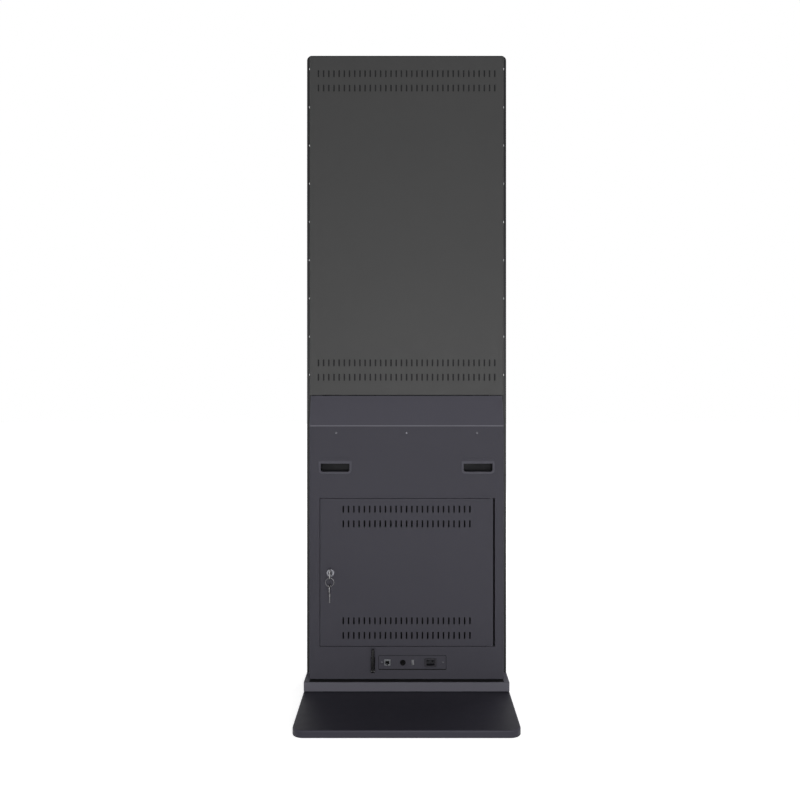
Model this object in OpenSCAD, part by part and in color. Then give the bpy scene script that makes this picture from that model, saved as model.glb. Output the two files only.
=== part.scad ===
// Floor-standing portrait kiosk: weighted base, collar, slim display column with vented rear covers,
// a lockable service door, a connector plate and a swivelling antenna.
// Millimetres. +Z is up, the screen faces -Y, the rear covers face +Y, the floor is z = 0.

/* [Overall] */
// Width of the frame, the collar and the base
kiosk_w = 600; // [560:1:680]
// Height from the floor to the top of the frame
kiosk_h = 1903; // [1880:1:2000]

/* [Base] */
// Depth of the base, front to back
base_d = 478; // [440:1:560]
// Height of the base
base_h = 20; // [18:0.5:30]
// Corner radius of the base in plan
base_corner_r = 30; // [8:0.5:40]
// Radius rolled along the top edge of the base cover
base_edge_r = 4; // [2:0.5:6]
// Sheet thickness of the base cover
base_sheet = 2; // [1.5:0.1:3]
// Thickness of the plate that closes the base from below
bottom_plate_t = 3; // [2:0.5:5]
// Reach of the base behind the collar
base_rear_reach = 249; // [210:1:275]
// Clearance around the ballast slab
ballast_gap = 1; // [0.4:0.1:4]
// Diameter of the base screws
base_screw_d = 5; // [4:0.5:6]

/* [Collar and column] */
// Depth of the collar, front to back
collar_d = 145; // [135:1:170]
// Height of the collar
collar_h = 26; // [22:0.5:40]
// Sheet thickness of the collar
collar_sheet = 2; // [1.5:0.1:3]
// Ledge of the collar in front of the frame
collar_front_ledge = 20; // [10:0.5:28]
// Width of an upright's section
upright_w = 24; // [20:0.5:28]
// Depth of an upright's section
upright_d = 40; // [34:0.5:41]
// Wall of an upright's section
upright_wall = 2.5; // [2:0.1:4]
// Thickness of a column foot
foot_t = 8; // [6:0.5:12]
// Length of a column foot, front to back
foot_d = 130; // [110:1:132]
// Reach of a column foot towards the middle, beside its upright
foot_reach = 34; // [28:1:60]
// Diameter of the bolts that hold the feet
foot_bolt_d = 8; // [6:0.5:10]
// Height of a cross bar's section
crossbar_h = 30; // [20:1:40]
// Depth of a cross bar's section
crossbar_d = 20; // [12:0.5:24]
// Clearance around what passes through a sheet
pass_gap = 1; // [0.4:0.1:2]

/* [Front frame] */
// Depth of the frame, front to back
frame_d = 45; // [42:0.5:52]
// Side wall of the frame profile
frame_wall = 4; // [3:0.1:6]
// Width of the lip in front of the glass
frame_lip_w = 14; // [10:0.5:18]
// Thickness of the lip and the rim
frame_lip_t = 2; // [1.5:0.1:3]
// Width of the rim that carries the rear covers
frame_rim_w = 22; // [16:0.5:26]
// Radius of the frame's top corners
frame_corner_r = 15; // [8:0.5:24]

/* [Display] */
// Thickness of the front glass
glass_t = 4; // [3:0.5:6]
// Clearance around the glass and the lower panel
glass_gap = 1; // [0.5:0.1:2]
// Height of the joint between the glass and the lower panel
glass_low_z = 885; // [860:1:900]
// Gap between the glass and the lower panel
glass_joint = 2; // [1:0.1:4]
// Thickness of the lower front panel
panel_t = 3; // [2:0.5:4]
// Thickness of the touch sensor
sensor_t = 1; // [0.5:0.1:2]
// Inset of the display module from the frame's sides
module_side_inset = 20.5; // [18:0.5:40]
// Inset of the display module from the ends of the glass
module_end_inset = 23; // [18:0.5:50]
// Thickness of the liquid crystal cell
cell_t = 3; // [2:0.5:4]
// Thickness of the backlight
backlight_t = 8; // [6:0.5:9]
// Sheet thickness of the display tray
tray_sheet = 1.5; // [1:0.1:2]
// Clearance between the display layers and the tray wall
tray_gap = 0.5; // [0.3:0.1:1]

/* [Rear covers] */
// Sheet thickness of the rear covers and the door
cover_sheet = 1.5; // [1:0.1:2]
// Inset of the upper rear cover from the frame's sides
upper_inset = 10; // [8:0.5:13]
// Reach of the upper rear cover behind the frame
upper_depth = 19; // [18:0.5:24]
// Drop from the frame's top to the upper cover's top
upper_top_drop = 11; // [9:0.5:16]
// Inset of the lower rear housing from the frame's sides
lower_inset = 14; // [8:0.5:15]
// Reach of the lower rear housing behind the frame
lower_depth = 59; // [56:0.5:72]
// Height at which the housing's slope starts
slope_low_z = 792; // [785:1:815]
// Height at which the housing's slope ends
slope_top_z = 879; // [865:1:885]
// Radius of the rear vertical edges of both covers
cover_edge_r = 3; // [2:0.5:6]
// Seam between the two covers
cover_seam = 2.4; // [0.6:0.1:3]
// Gap between the housing and the collar
housing_foot_gap = 2; // [1:0.5:4]

/* [Vents] */
// Width of a vent slot
slot_w = 4.5; // [3:0.1:6]
// Length of a vent slot
slot_l = 21; // [14:0.5:26]
// Pitch of the vent slots
slot_pitch = 15.5; // [13:0.1:15.7]
// Least inset of the upper cover's end slots from its sides
upper_vent_inset = 25; // [20:1:120]
// Least inset of the door's end slots from its sides
door_vent_inset = 66; // [40:1:120]
// Pitch of the two rows of a vent pair
row_pitch = 43; // [32:0.5:50]
// Drop from the upper cover's top to its first vent row
upper_row_drop = 50; // [36:1:70]
// Rise from the upper cover's foot to its lowest vent row
upper_row_rise = 53; // [36:1:80]
// Inset of the door's outer vent rows from its ends
door_row_inset = 31; // [28:1:50]

/* [Service door] */
// Inset of the service door from the housing's sides
door_side_inset = 32; // [31:0.5:50]
// Height of the service door
door_h = 433; // [380:1:440]
// Height of the door's lower edge
door_low_z = 145; // [143:1:160]
// Depth of the door's folded edges
door_flange = 12; // [11:0.5:14]
// Gap round the door
door_gap = 1.5; // [0.8:0.1:2]
// Gap on the hinge side of the door
hinge_gap = 5.5; // [4.5:0.1:7]
// Distance of the hinge axis from the door's edge and from its face
hinge_inset = 6; // [5.6:0.1:7]
// Diameter of the hinge pins
hinge_pin_d = 5; // [4:0.1:6]
// Height of a pivot block in the door's corner
pivot_block_h = 15; // [12:0.5:24]
// Sheet thickness of a hinge bracket
bracket_t = 3; // [2:0.5:4]
// Radial clearance of turning fits
fit_gap = 0.05; // [0.02:0.01:0.1]

/* [Lock and keys] */
// Inset of the lock's axis from the door's edge
lock_inset = 30.4; // [28:0.2:50]
// Height of the lock's axis
lock_z = 360; // [300:1:420]
// Diameter of the lock's bezel
bezel_d = 22; // [20:0.5:26]
// Height of the bezel over the door
bezel_h = 3; // [2:0.5:4]
// Diameter of the lock's barrel
barrel_d = 18; // [16:0.5:19]
// Length of the barrel behind the door's face
barrel_l = 29; // [28:0.5:32]
// Diameter of the lock's plug
plug_d = 12; // [11:0.5:13]
// Thickness of the lock nut
lock_nut_t = 5; // [4:0.5:7]
// Reach of the cam from the lock's axis
cam_reach = 42; // [40:0.5:46]
// Width of the cam
cam_w = 14; // [12:0.5:16]
// Thickness of the cam
cam_t = 2.5; // [2:0.1:3]
// Thickness of a key
key_t = 2.2; // [1.8:0.1:2.4]
// Width of a key's blade
blade_w = 7; // [6:0.1:8]
// Length of a key's blade
blade_l = 27; // [22:0.5:27]
// Width of a key's bow, across its blade
bow_w = 30; // [28:0.5:34]
// Length of a key's bow, along its blade
bow_l = 22; // [18:0.5:24]
// Length of the slot in a key's bow
bow_slot_l = 23; // [21:0.5:24]
// Width of the slot in a key's bow
bow_slot_w = 5; // [4.5:0.1:6]
// Outer diameter of the key ring
ring_d = 26; // [24:0.5:32]
// Diameter of the key ring's wire
wire_d = 2; // [1.6:0.1:2.2]
// Clearance of the ring in a bow's slot
ring_gap = 0.3; // [0.2:0.1:0.5]

/* [Handles] */
// Inset of a handle's middle from the housing's side
handle_inset = 76; // [72:1:110]
// Height of the handles
handle_z = 674; // [640:1:700]
// Width of a handle's opening
handle_w = 85; // [80:1:100]
// Height of a handle's opening
handle_h = 34; // [30:0.5:44]
// Depth of a handle's cup
handle_depth = 30; // [24:0.5:34]
// Wall of a handle's cup
handle_wall = 2; // [1.5:0.1:3]
// Width of the rim around a handle's opening
handle_rim = 4; // [3:0.5:6]
// Height of the rim over the housing
handle_rim_t = 1.5; // [1:0.1:3]
// Overhang of the grip lip into the opening
grip_drop = 10; // [6:0.5:12]

/* [Connector plate] */
// Width of the opening over the connector plate
port_w = 200; // [195:1:220]
// Height of the opening over the connector plate
port_h = 43; // [40:0.5:44]
// Distance of the opening from the middle
port_x = -17; // [-30:0.5:-10]
// Height of the opening's middle
port_z = 96; // [94:0.5:100]
// Margin of the plate behind the housing
port_margin = 7; // [5:0.5:8]
// Thickness of the connector plate
port_plate_t = 1.5; // [1:0.1:2]
// Place of the LAN jack along the plate, from its middle
lan_at = 73.5; // [70:0.5:76]
// Place of the power button along the plate
button_at = 28; // [20:0.5:34]
// Place of the USB port along the plate
usb_at = -1.5; // [-8:0.5:4]
// Place of the power inlet along the plate
inlet_at = -53; // [-58:0.5:-46]
// Inset of the plate's screws from the ends of the opening
port_screw_inset = 10; // [7:0.5:12]
// Diameter of the plate's screws
port_screw_d = 3; // [2.5:0.1:3.5]
// Width and height of the LAN jack
lan_w = 18; // [16:0.5:19]
// Width of the LAN jack's socket
lan_hole_w = 12; // [11:0.1:13]
// Height of the LAN jack's socket
lan_hole_h = 9; // [8:0.1:10]
// Depth of the LAN jack
lan_depth = 21; // [18:0.5:24]
// Diameter of the power button's bezel
button_bezel_d = 16; // [14:0.5:20]
// Diameter of the power button
button_d = 11; // [9:0.5:12]
// Travel of the power button
button_travel = 2.5; // [1.5:0.1:3]
// Width of the upright USB port
usb_w = 7; // [6.6:0.1:8]
// Height of the upright USB port
usb_h = 15; // [14:0.1:17]
// Depth of the USB port
usb_depth = 18; // [15:0.5:22]
// Width of the power inlet's flange
inlet_w = 36; // [34:0.5:40]
// Height of the power inlet's flange
inlet_h = 26; // [25:0.5:30]
// Depth of the power inlet
inlet_depth = 24; // [22:0.5:28]

/* [Antenna] */
// Distance of the antenna from the middle
antenna_x = 98; // [97:0.5:130]
// Height of the antenna's axis
antenna_z = 78; // [72:0.5:78]
// Diameter of the antenna's sleeve
sleeve_d = 12; // [11:0.5:12.5]
// Diameter of the antenna's rod
rod_d = 9.4; // [8:0.1:10]
// Length of the antenna from its tilt axis
antenna_l = 64; // [50:0.5:64]
// Length of the antenna's sleeve
sleeve_l = 40; // [30:0.5:44]
// Distance of the tilt axis from the housing
antenna_stand = 19; // [18:0.5:24]
// Diameter of the tilt pivot
pivot_d = 3; // [2.5:0.1:4]

/* [Inside] */
// Gap between the equipment plate and the uprights
equip_side_gap = 15; // [5:1:40]
// Thickness of the equipment plate
equip_t = 2; // [1.5:0.1:3]
// Width of the power supply
supply_w = 115; // [90:1:130]
// Height of the power supply
supply_h = 215; // [160:1:240]
// Depth of the power supply
supply_d = 30; // [24:0.5:34]
// Size of the square main board
board_w = 170; // [150:1:190]
// Height of the spacers under a board
spacer_h = 6; // [4:0.5:8]
// Thickness of a circuit board
board_t = 1.6; // [1:0.1:2.4]
// Inset of the power supply from the equipment plate's side
supply_inset = 25; // [12:1:40]
// Rise of the power supply over the door's lower edge
supply_rise = 85; // [80:1:140]
// Sheet thickness of the power supply's case
supply_sheet = 1.5; // [1:0.1:2]
// Inset of the main board from the equipment plate's side
board_inset = 85; // [40:1:90]
// Rise of the main board over the door's lower edge
board_rise = 170; // [100:1:220]
// Offset of the display cable from the main board's middle
cable_offset = 30; // [10:1:60]
// Drop of the driver board's foot below the middle of the display
driver_drop = 130; // [115:1:220]
// Width of the driver board
driver_w = 220; // [160:1:260]
// Height of the driver board
driver_h = 90; // [60:1:95]
// Width of the touch controller
touch_w = 90; // [60:1:120]
// Height of the touch controller
touch_h = 40; // [34:1:60]
// Rise of the touch controller over the display's foot
touch_rise = 60; // [20:1:120]
// Drop of the low cross bar below the door
low_bar_drop = 25; // [18:1:40]
// Rise of the middle cross bar over the door
mid_bar_rise = 62; // [30:1:90]
// Drop of the top cross bar below the uprights' ends
top_bar_drop = 40; // [25:1:80]
// Diameter of the power lead
lead_d = 7; // [5:0.5:8]
// Bend radius of the power lead behind the inlet
lead_back_r = 16; // [12:0.5:17]
// Bend radius of the power lead's other bends
lead_side_r = 25; // [14:0.5:30]
// Rise of the power lead over the inlet before it turns
lead_rise = 54; // [30:1:60]
// Diameter of the display cable
cable_d = 6; // [4:0.5:8]

/* [Screws] */
// Diameter of a cover screw's head
screw_head_d = 7; // [6:0.1:8]
// Height of a cover screw's head
screw_head_h = 2.2; // [1.6:0.1:3]
// Diameter of a cover screw's shank
screw_d = 4; // [3:0.1:4.5]
// Screws on each side of the upper cover
upper_side_screws = 9; // [5:1:12]
// Screws on each side of the lower housing
lower_side_screws = 7; // [4:1:9]
// Screws along the upper cover's top
top_screws = 5; // [3:1:7]
// Inset of the end screws from a cover's ends
side_screw_inset = 33; // [24:1:60]
// Inset of the lowest side screws from a cover's foot
foot_screw_inset = 60; // [40:1:80]
// Inset of the outer rear screws from the housing's sides
rear_screw_inset = 79; // [50:1:110]
// Drop of the rear screws below the slope
rear_screw_drop = 21; // [14:0.5:30]

/* [Hidden] */
$fn = 48;
// Overshoot of a cutting tool past the face that it cuts
over = 1;
half_w = kiosk_w / 2;
upper_w = kiosk_w - 2 * upper_inset;
lower_w = kiosk_w - 2 * lower_inset;
door_w = lower_w - 2 * door_side_inset;
base_top = base_h;
collar_rear_y = base_d / 2 - base_rear_reach;
collar_front_y = collar_rear_y - collar_d;
column_z = base_top + collar_h;
frame_front_y = collar_front_y + collar_front_ledge;
frame_rear_y = frame_front_y + frame_d;
upper_y = frame_rear_y + upper_depth;
lower_y = frame_rear_y + lower_depth;
lower_in_y = lower_y - cover_sheet;

// Display stack, from the lip inwards
glass_y = frame_front_y + frame_lip_t;
sensor_y = glass_y + glass_t;
cell_y = sensor_y + sensor_t;
backlight_y = cell_y + cell_t;
tray_y = backlight_y + backlight_t;
tray_rear_y = tray_y + tray_sheet;
glass_top_z = kiosk_h - frame_wall - glass_gap;
module_z = (glass_low_z + glass_top_z) / 2;
module_w = kiosk_w - 2 * module_side_inset;
module_h = glass_top_z - glass_low_z - 2 * module_end_inset;

// Column: the uprights stand beside the frame's rim, behind the display tray
rim_in_x = half_w - frame_wall - frame_rim_w;
upright_x = rim_in_x - upright_w / 2;
upright_in_x = rim_in_x - upright_w;
upright_y = tray_rear_y + upright_d / 2;
upright_rear_y = tray_rear_y + upright_d;
upright_top_z = kiosk_h - frame_wall - frame_rim_w;
foot_top_z = base_top + foot_t;
crossbar_rear_y = tray_rear_y + crossbar_d;
equip_y = crossbar_rear_y;
equip_rear_y = equip_y + equip_t;

// Rear covers
upper_low_z = slope_top_z + cover_seam;
upper_top_z = kiosk_h - upper_top_drop;
housing_low_z = column_z + housing_foot_gap;
rail_t = cover_sheet;
rail_gap = 0.5;
upper_slots = floor((upper_w - 2 * upper_vent_inset) / slot_pitch) + 1;
rear_screw_x = lower_w / 2 - rear_screw_inset;
handle_x = lower_w / 2 - handle_inset;

// Service door
door_left_x = -door_w / 2;
door_right_x = door_w / 2;
door_top_z = door_low_z + door_h;
door_slots = floor((door_w - 2 * door_vent_inset) / slot_pitch) + 1;
lock_x = door_right_x - lock_inset;
door_in_y = lower_y - cover_sheet;
door_back_y = lower_y - door_flange;
hinge_x = door_left_x + hinge_inset;
hinge_y = lower_y - hinge_inset;
jamb_right_x = door_right_x + door_gap;
jamb_left_x = door_left_x - hinge_gap;
bracket_gap = 1.5;
pin_head_d = hinge_pin_d + 3;
pin_head_h = 2;
pin_floor = 3;
pin_depth = pivot_block_h - pin_floor;

// Lock and keys
bezel_y = lower_y + bezel_h;
barrel_end_y = lower_y - barrel_l;
cam_gap = 0.5;
cam_y = barrel_end_y - cam_gap;
hook_gap = 1;
jamb_back_y = cam_y + hook_gap;
key_shoulder_gap = 0.5;
shoulder_l = 2;
bow_rim = 3;
bow_y = bezel_y + key_shoulder_gap + shoulder_l;
slot_y = bow_y + bow_l - bow_slot_w / 2 - bow_rim;
ring_r = (ring_d - wire_d) / 2;
ring_top_z = lock_z - bow_slot_l / 2 + wire_d / 2 + ring_gap;
ring_z = ring_top_z - ring_r;
spare_z = ring_z - ring_r;

// Connector plate
port_plate_y = lower_in_y - port_plate_t;
port_screw_reach = port_w / 2 - port_screw_inset;

// Power button
button_cap_out = 1;

// Antenna
tilt_y = lower_y + antenna_stand;
socket_d = 6.4;
socket_nut_d = 9;

// Equipment on the plate
cable_lift = 5;
equip_w = 2 * (upright_in_x - equip_side_gap);
low_bar_z = door_low_z - low_bar_drop;
mid_bar_z = door_top_z + mid_bar_rise;
top_bar_z = upright_top_z - top_bar_drop;
equip_low_z = low_bar_z - crossbar_h / 2;
equip_top_z = mid_bar_z + crossbar_h / 2;
supply_x = -equip_w / 2 + supply_w / 2 + supply_inset;
supply_z = door_low_z + supply_rise;
board_x = equip_w / 2 - board_w / 2 - board_inset;
board_z = door_low_z + board_rise;
cable_x = board_x + cable_offset;
cable_y = equip_rear_y + spacer_h + board_t + cable_lift;
driver_low_z = module_z - driver_drop;
inlet_x = port_x + inlet_at;
lead_y = equip_rear_y + supply_d / 2;
inlet_end_y = port_plate_y - inlet_depth;

// Colours
cover_grey = [0.28, 0.28, 0.30];
base_grey = [0.16, 0.16, 0.18];
steel = [0.70, 0.71, 0.73];
inner_black = [0.11, 0.11, 0.115];
black = [0.06, 0.06, 0.07];
board_green = [0.10, 0.32, 0.20];

// Shared shapes

// Outline in X and Z, thickened from y0 to y1
module slab(y0, y1) {
    translate([0, y1, 0]) rotate([90, 0, 0]) linear_extrude(height = y1 - y0) children();
}

// Outline in X and Y, raised from z0 to z1
module riser(z0, z1) {
    translate([0, 0, z0]) linear_extrude(height = z1 - z0) children();
}

// Outline in Y and Z, drawn out from x0 to x1
module bar(x0, x1) {
    translate([x0, 0, 0]) rotate([90, 0, 90]) linear_extrude(height = x1 - x0) children();
}

module box(low, high) {
    translate(low) cube(high - low);
}

module rect(x0, x1, y0, y1) {
    translate([x0, y0]) square([x1 - x0, y1 - y0]);
}

// Rectangle about the origin with round corners
module round_rect(w, h, r) {
    square([w - 2 * r, h], center = true);
    square([w, h - 2 * r], center = true);
    for (x = [-1, 1], y = [-1, 1]) {
        translate([x * (w / 2 - r), y * (h / 2 - r)]) circle(r);
    }
}

// Upright slot about the origin with round ends
module slot(w, l) {
    square([w, l - w], center = true);
    for (y = [-1, 1]) {
        translate([0, y * (l - w) / 2]) circle(d = w);
    }
}

module rod_x(x0, x1, y, z, d) {
    translate([x0, y, z]) rotate([0, 90, 0]) cylinder(h = x1 - x0, d = d);
}

module rod_y(x, y0, y1, z, d) {
    translate([x, y1, z]) rotate([90, 0, 0]) cylinder(h = y1 - y0, d = d);
}

module rod_z(x, y, z0, z1, d) {
    translate([x, y, z0]) cylinder(h = z1 - z0, d = d);
}

// The same piece on the other side of the middle
module other_side() {
    mirror([1, 0, 0]) children();
}

// Places evenly spaced from the first to the last
function spread(first, last, count) = [for (i = [0 : count - 1]) first + i * (last - first) / (count - 1)];

// Base

skirt_lift = 0.5;
plate_gap = 0.3;
base_in_gap = base_sheet + plate_gap;
csk_d = base_screw_d * 2;
csk_h = base_screw_d / 2;
hole_gap = 0.2;
base_screw_inset = 40;
screw_end_gap = 4;
base_screw_l = base_h - base_sheet - screw_end_gap;

module base_screw_places() {
    for (x = [-1, 0, 1], y = [-1, 1]) {
        translate([x * (half_w - base_screw_inset), y * (base_d / 2 - base_screw_inset), 0]) children();
    }
}

// Countersunk screw standing on its head, grown by a gap
module base_screw(gap) {
    cylinder(h = csk_h, d1 = csk_d + 2 * gap, d2 = base_screw_d + 2 * gap);
    cylinder(h = base_screw_l + gap, d = base_screw_d + 2 * gap);
}

module base_bottom_plate() {
    color(base_grey) difference() {
        riser(0, bottom_plate_t) {
            round_rect(kiosk_w - 2 * base_in_gap, base_d - 2 * base_in_gap, base_corner_r - base_sheet);
        }
        base_screw_places() base_screw(hole_gap);
    }
}

module base_ballast() {
    w = kiosk_w - 2 * (base_sheet + ballast_gap);
    d = base_d - 2 * (base_sheet + ballast_gap);
    color(steel) difference() {
        riser(bottom_plate_t, base_h - base_sheet) round_rect(w, d, base_corner_r - base_sheet);
        base_screw_places() base_screw(hole_gap);
        foot_bolt_places() foot_bolt_hole();
    }
}

// Section of the cover's edge: r wide, up to h, with its outer top edge rolled
module rolled_section(h, r, edge) {
    rect(0, r, skirt_lift, h - edge);
    rect(0, r - edge, skirt_lift, h);
    translate([r - edge, h - edge]) circle(edge);
}

// Block with round corners in plan and a rolled top edge
module rolled_block(w, d, h, r, edge) {
    x = w / 2 - r;
    y = d / 2 - r;
    riser(skirt_lift, h) rect(-x, x, -y, y);
    for (s = [0, 180]) {
        rotate(s) translate([x, y, 0]) rotate([90, 0, 0])
            linear_extrude(height = 2 * y) rolled_section(h, r, edge);
        rotate(s) translate([-x, y, 0]) rotate([90, 0, 90])
            linear_extrude(height = 2 * x) rolled_section(h, r, edge);
        rotate(s) translate([x, y, 0]) rotate_extrude(angle = 90) rolled_section(h, r, edge);
        rotate(s) translate([-x, y, 0]) rotate(90) rotate_extrude(angle = 90) rolled_section(h, r, edge);
    }
}

module base_cover() {
    color(base_grey) difference() {
        rolled_block(kiosk_w, base_d, base_h, base_corner_r, base_edge_r);
        riser(-over, base_h - base_sheet) {
            round_rect(kiosk_w - 2 * base_sheet, base_d - 2 * base_sheet, base_corner_r - base_sheet);
        }
        foot_bolt_places() foot_bolt_hole();
    }
}

module base_screws() {
    color(steel) base_screw_places() base_screw(0);
}

// Collar and column

collar_mid_y = (collar_rear_y + collar_front_y) / 2;
collar_edge_r = 3;
bolt_head_d = foot_bolt_d * 1.75;
bolt_head_h = foot_bolt_d * 0.65;
bolt_edge = foot_bolt_d * 1.5;
bolt_end_z = bottom_plate_t + 2;
foot_in_x = upright_in_x - foot_reach;
spigot_h = 30;
spigot_gap = 0.3;

module foot_bolt_places() {
    for (s = [-1, 1], y = [-1, 1], x = [foot_in_x + bolt_edge, upright_x]) {
        translate([s * x, collar_mid_y + y * (foot_d / 2 - bolt_edge), 0]) children();
    }
}

module foot_bolt_hole() {
    rod_z(0, 0, bolt_end_z - hole_gap, foot_top_z + over, foot_bolt_d + 2 * hole_gap);
}

module foot_bolts() {
    color(steel) foot_bolt_places() {
        rod_z(0, 0, bolt_end_z, foot_top_z, foot_bolt_d);
        translate([0, 0, foot_top_z]) cylinder(h = bolt_head_h, d = bolt_head_d, $fn = 6);
    }
}

// Section of an upright in plan, drawn in by an inset
module upright_plan(inset) {
    translate([upright_x, upright_y]) square([upright_w - 2 * inset, upright_d - 2 * inset], center = true);
}

module collar() {
    color(cover_grey) translate([0, collar_mid_y, 0]) difference() {
        riser(base_top, column_z) round_rect(kiosk_w, collar_d, collar_edge_r);
        riser(base_top - over, column_z - collar_sheet) {
            round_rect(kiosk_w - 2 * collar_sheet, collar_d - 2 * collar_sheet, collar_edge_r - collar_sheet);
        }
        translate([0, -collar_mid_y, 0]) riser(base_top, column_z + over) {
            upright_plan(-pass_gap);
            other_side() upright_plan(-pass_gap);
        }
    }
}

module foot_right() {
    color(steel) difference() {
        union() {
            box([foot_in_x, collar_mid_y - foot_d / 2, base_top],
                [rim_in_x, collar_mid_y + foot_d / 2, foot_top_z]);
            riser(foot_top_z - over, foot_top_z + spigot_h) upright_plan(upright_wall + spigot_gap);
        }
        foot_bolt_places() foot_bolt_hole();
    }
}

module foot_left() {
    other_side() foot_right();
}

module upright_right() {
    color(inner_black) riser(foot_top_z, upright_top_z) difference() {
        upright_plan(0);
        upright_plan(upright_wall);
    }
}

module upright_left() {
    other_side() upright_right();
}

crossbar_wall = 2;
crossbar_zs = [low_bar_z, mid_bar_z, module_z, top_bar_z];

module crossbars() {
    color(inner_black) for (z = crossbar_zs) {
        bar(-upright_in_x, upright_in_x) translate([tray_rear_y + crossbar_d / 2, z]) difference() {
            square([crossbar_d, crossbar_h], center = true);
            square([crossbar_d - 2 * crossbar_wall, crossbar_h - 2 * crossbar_wall], center = true);
        }
    }
}

// Front frame

mitre_in = frame_wall + frame_rim_w + frame_corner_r;

// Front outline of the frame in X and Z, drawn in by an inset, with round top corners
module frame_outline(inset) {
    x = half_w - inset;
    top = kiosk_h - inset;
    r = max(frame_corner_r - inset, over);
    rect(-x, x, column_z + inset, top - r);
    rect(r - x, x - r, column_z + inset, top);
    for (s = [-1, 1]) {
        translate([s * (x - r), top - r]) circle(r);
    }
}

module frame_band(y0, y1, width) {
    slab(y0, y1) difference() {
        frame_outline(0);
        frame_outline(width);
    }
}

// Whole frame: lip in front of the glass, side wall, rim at the back
module frame_ring() {
    difference() {
        union() {
            frame_band(frame_front_y, frame_rear_y, frame_wall);
            frame_band(frame_front_y, glass_y, frame_lip_w);
            frame_band(frame_rear_y - frame_lip_t, frame_rear_y, frame_wall + frame_rim_w);
        }
        riser(column_z - over, column_z + mitre_in) {
            upright_plan(-pass_gap);
            other_side() upright_plan(-pass_gap);
        }
    }
}

// One profile of the frame, cut by the mitres at its ends
module frame_piece(points) {
    color(cover_grey) intersection() {
        frame_ring();
        slab(frame_front_y - over, frame_rear_y + over) polygon(points);
    }
}

module frame_right() {
    frame_piece([
        [half_w, column_z], [half_w, kiosk_h],
        [half_w - mitre_in, kiosk_h - mitre_in], [half_w - mitre_in, column_z + mitre_in]
    ]);
}

module frame_left() {
    other_side() frame_right();
}

module frame_top() {
    frame_piece([
        [-half_w, kiosk_h], [half_w, kiosk_h],
        [half_w - mitre_in, kiosk_h - mitre_in], [mitre_in - half_w, kiosk_h - mitre_in]
    ]);
}

module frame_bottom() {
    frame_piece([
        [-half_w, column_z], [half_w, column_z],
        [half_w - mitre_in, column_z + mitre_in], [mitre_in - half_w, column_z + mitre_in]
    ]);
}

// Display

sensor_inset = 8;

// Part of the frame's inner outline between two heights
module front_pane(low, high) {
    intersection() {
        frame_outline(frame_wall + glass_gap);
        rect(-half_w, half_w, low, high);
    }
}

module module_outline(inset) {
    translate([0, module_z]) square([module_w - 2 * inset, module_h - 2 * inset], center = true);
}

module front_glass() {
    color(black) slab(glass_y, sensor_y) front_pane(glass_low_z, kiosk_h);
}

module lower_front_panel() {
    color(cover_grey) slab(glass_y, glass_y + panel_t) front_pane(column_z, glass_low_z - glass_joint);
}

module touch_sensor() {
    color(black) slab(sensor_y, cell_y) module_outline(sensor_inset);
}

module lcd_cell() {
    color(black) slab(cell_y, backlight_y) module_outline(tray_sheet + tray_gap);
}

module backlight() {
    color("white") slab(backlight_y, tray_y) module_outline(tray_sheet + tray_gap);
}

module lcd_tray() {
    color(inner_black) {
        slab(tray_y, tray_rear_y) module_outline(0);
        slab(cell_y, tray_rear_y) difference() {
            module_outline(0);
            module_outline(tray_sheet);
        }
    }
}

spacer_d = 6;

// Circuit board on four spacers, behind the plane y, from its low corner
module circuit_board(x, y, z, w, h) {
    box([x, y + spacer_h, z], [x + w, y + spacer_h + board_t, z + h]);
    for (px = [x + spacer_d, x + w - spacer_d], pz = [z + spacer_d, z + h - spacer_d]) {
        rod_y(px, y, y + spacer_h + over, pz, spacer_d);
    }
}

plug_block_w = 22;
plug_block_h = 14;
block_cover = 4;

// Connector block that takes the display cable at its end face
module cable_block(y, z) {
    box([cable_x - plug_block_w / 2, y, z],
        [cable_x + plug_block_w / 2, cable_y + cable_d / 2 + block_cover, z + plug_block_h]);
}

chip_t = 3;
chip_w = 18;
chip_rise = 8;

module driver_board() {
    board_y = tray_rear_y + spacer_h;
    color(board_green) {
        circuit_board(cable_x - driver_w / 2, tray_rear_y, driver_low_z, driver_w, driver_h);
        cable_block(board_y, driver_low_z);
        for (x = [-2, 2]) {
            translate([cable_x + x * chip_w, board_y + board_t, driver_low_z + driver_h / 2]) {
                translate([-chip_w / 2, -over, -chip_w / 2]) cube([chip_w, chip_t + over, chip_w]);
            }
        }
    }
}

touch_z = module_z - module_h / 2 + touch_rise;

module touch_controller() {
    board_y = tray_rear_y + spacer_h + board_t;
    color(board_green) {
        circuit_board(-touch_w / 2, tray_rear_y, touch_z, touch_w, touch_h);
        box([-chip_w / 2, board_y - over, touch_z + chip_rise],
            [chip_w / 2, board_y + chip_t, touch_z + chip_rise + chip_w]);
    }
}

// Rear covers

side_screw_reach = 9;
side_screw_y = frame_rear_y + side_screw_reach;
rail_rise = 15;
screw_play = 0.3;
head_ratio = 2;
head_rise = 0.7;
screw_hole_d = screw_d + screw_play;
screw_grip = 6;
cable_way_w = 400;
cable_way_lip = 4;
least_r = 0.2;

// Plan of a cover with round rear edges, open towards the frame
module cover_plan(w, y0, y1, r) {
    rect(-w / 2, w / 2, y0, y1 - r);
    rect(r - w / 2, w / 2 - r, y0, y1);
    for (s = [-1, 1]) {
        translate([s * (w / 2 - r), y1 - r]) circle(r);
    }
}

// One row of vent slots about a height
module vent_row(count, z) {
    for (x = spread(-(count - 1) / 2 * slot_pitch, (count - 1) / 2 * slot_pitch, count)) {
        translate([x, z]) slot(slot_w, slot_l);
    }
}

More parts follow.
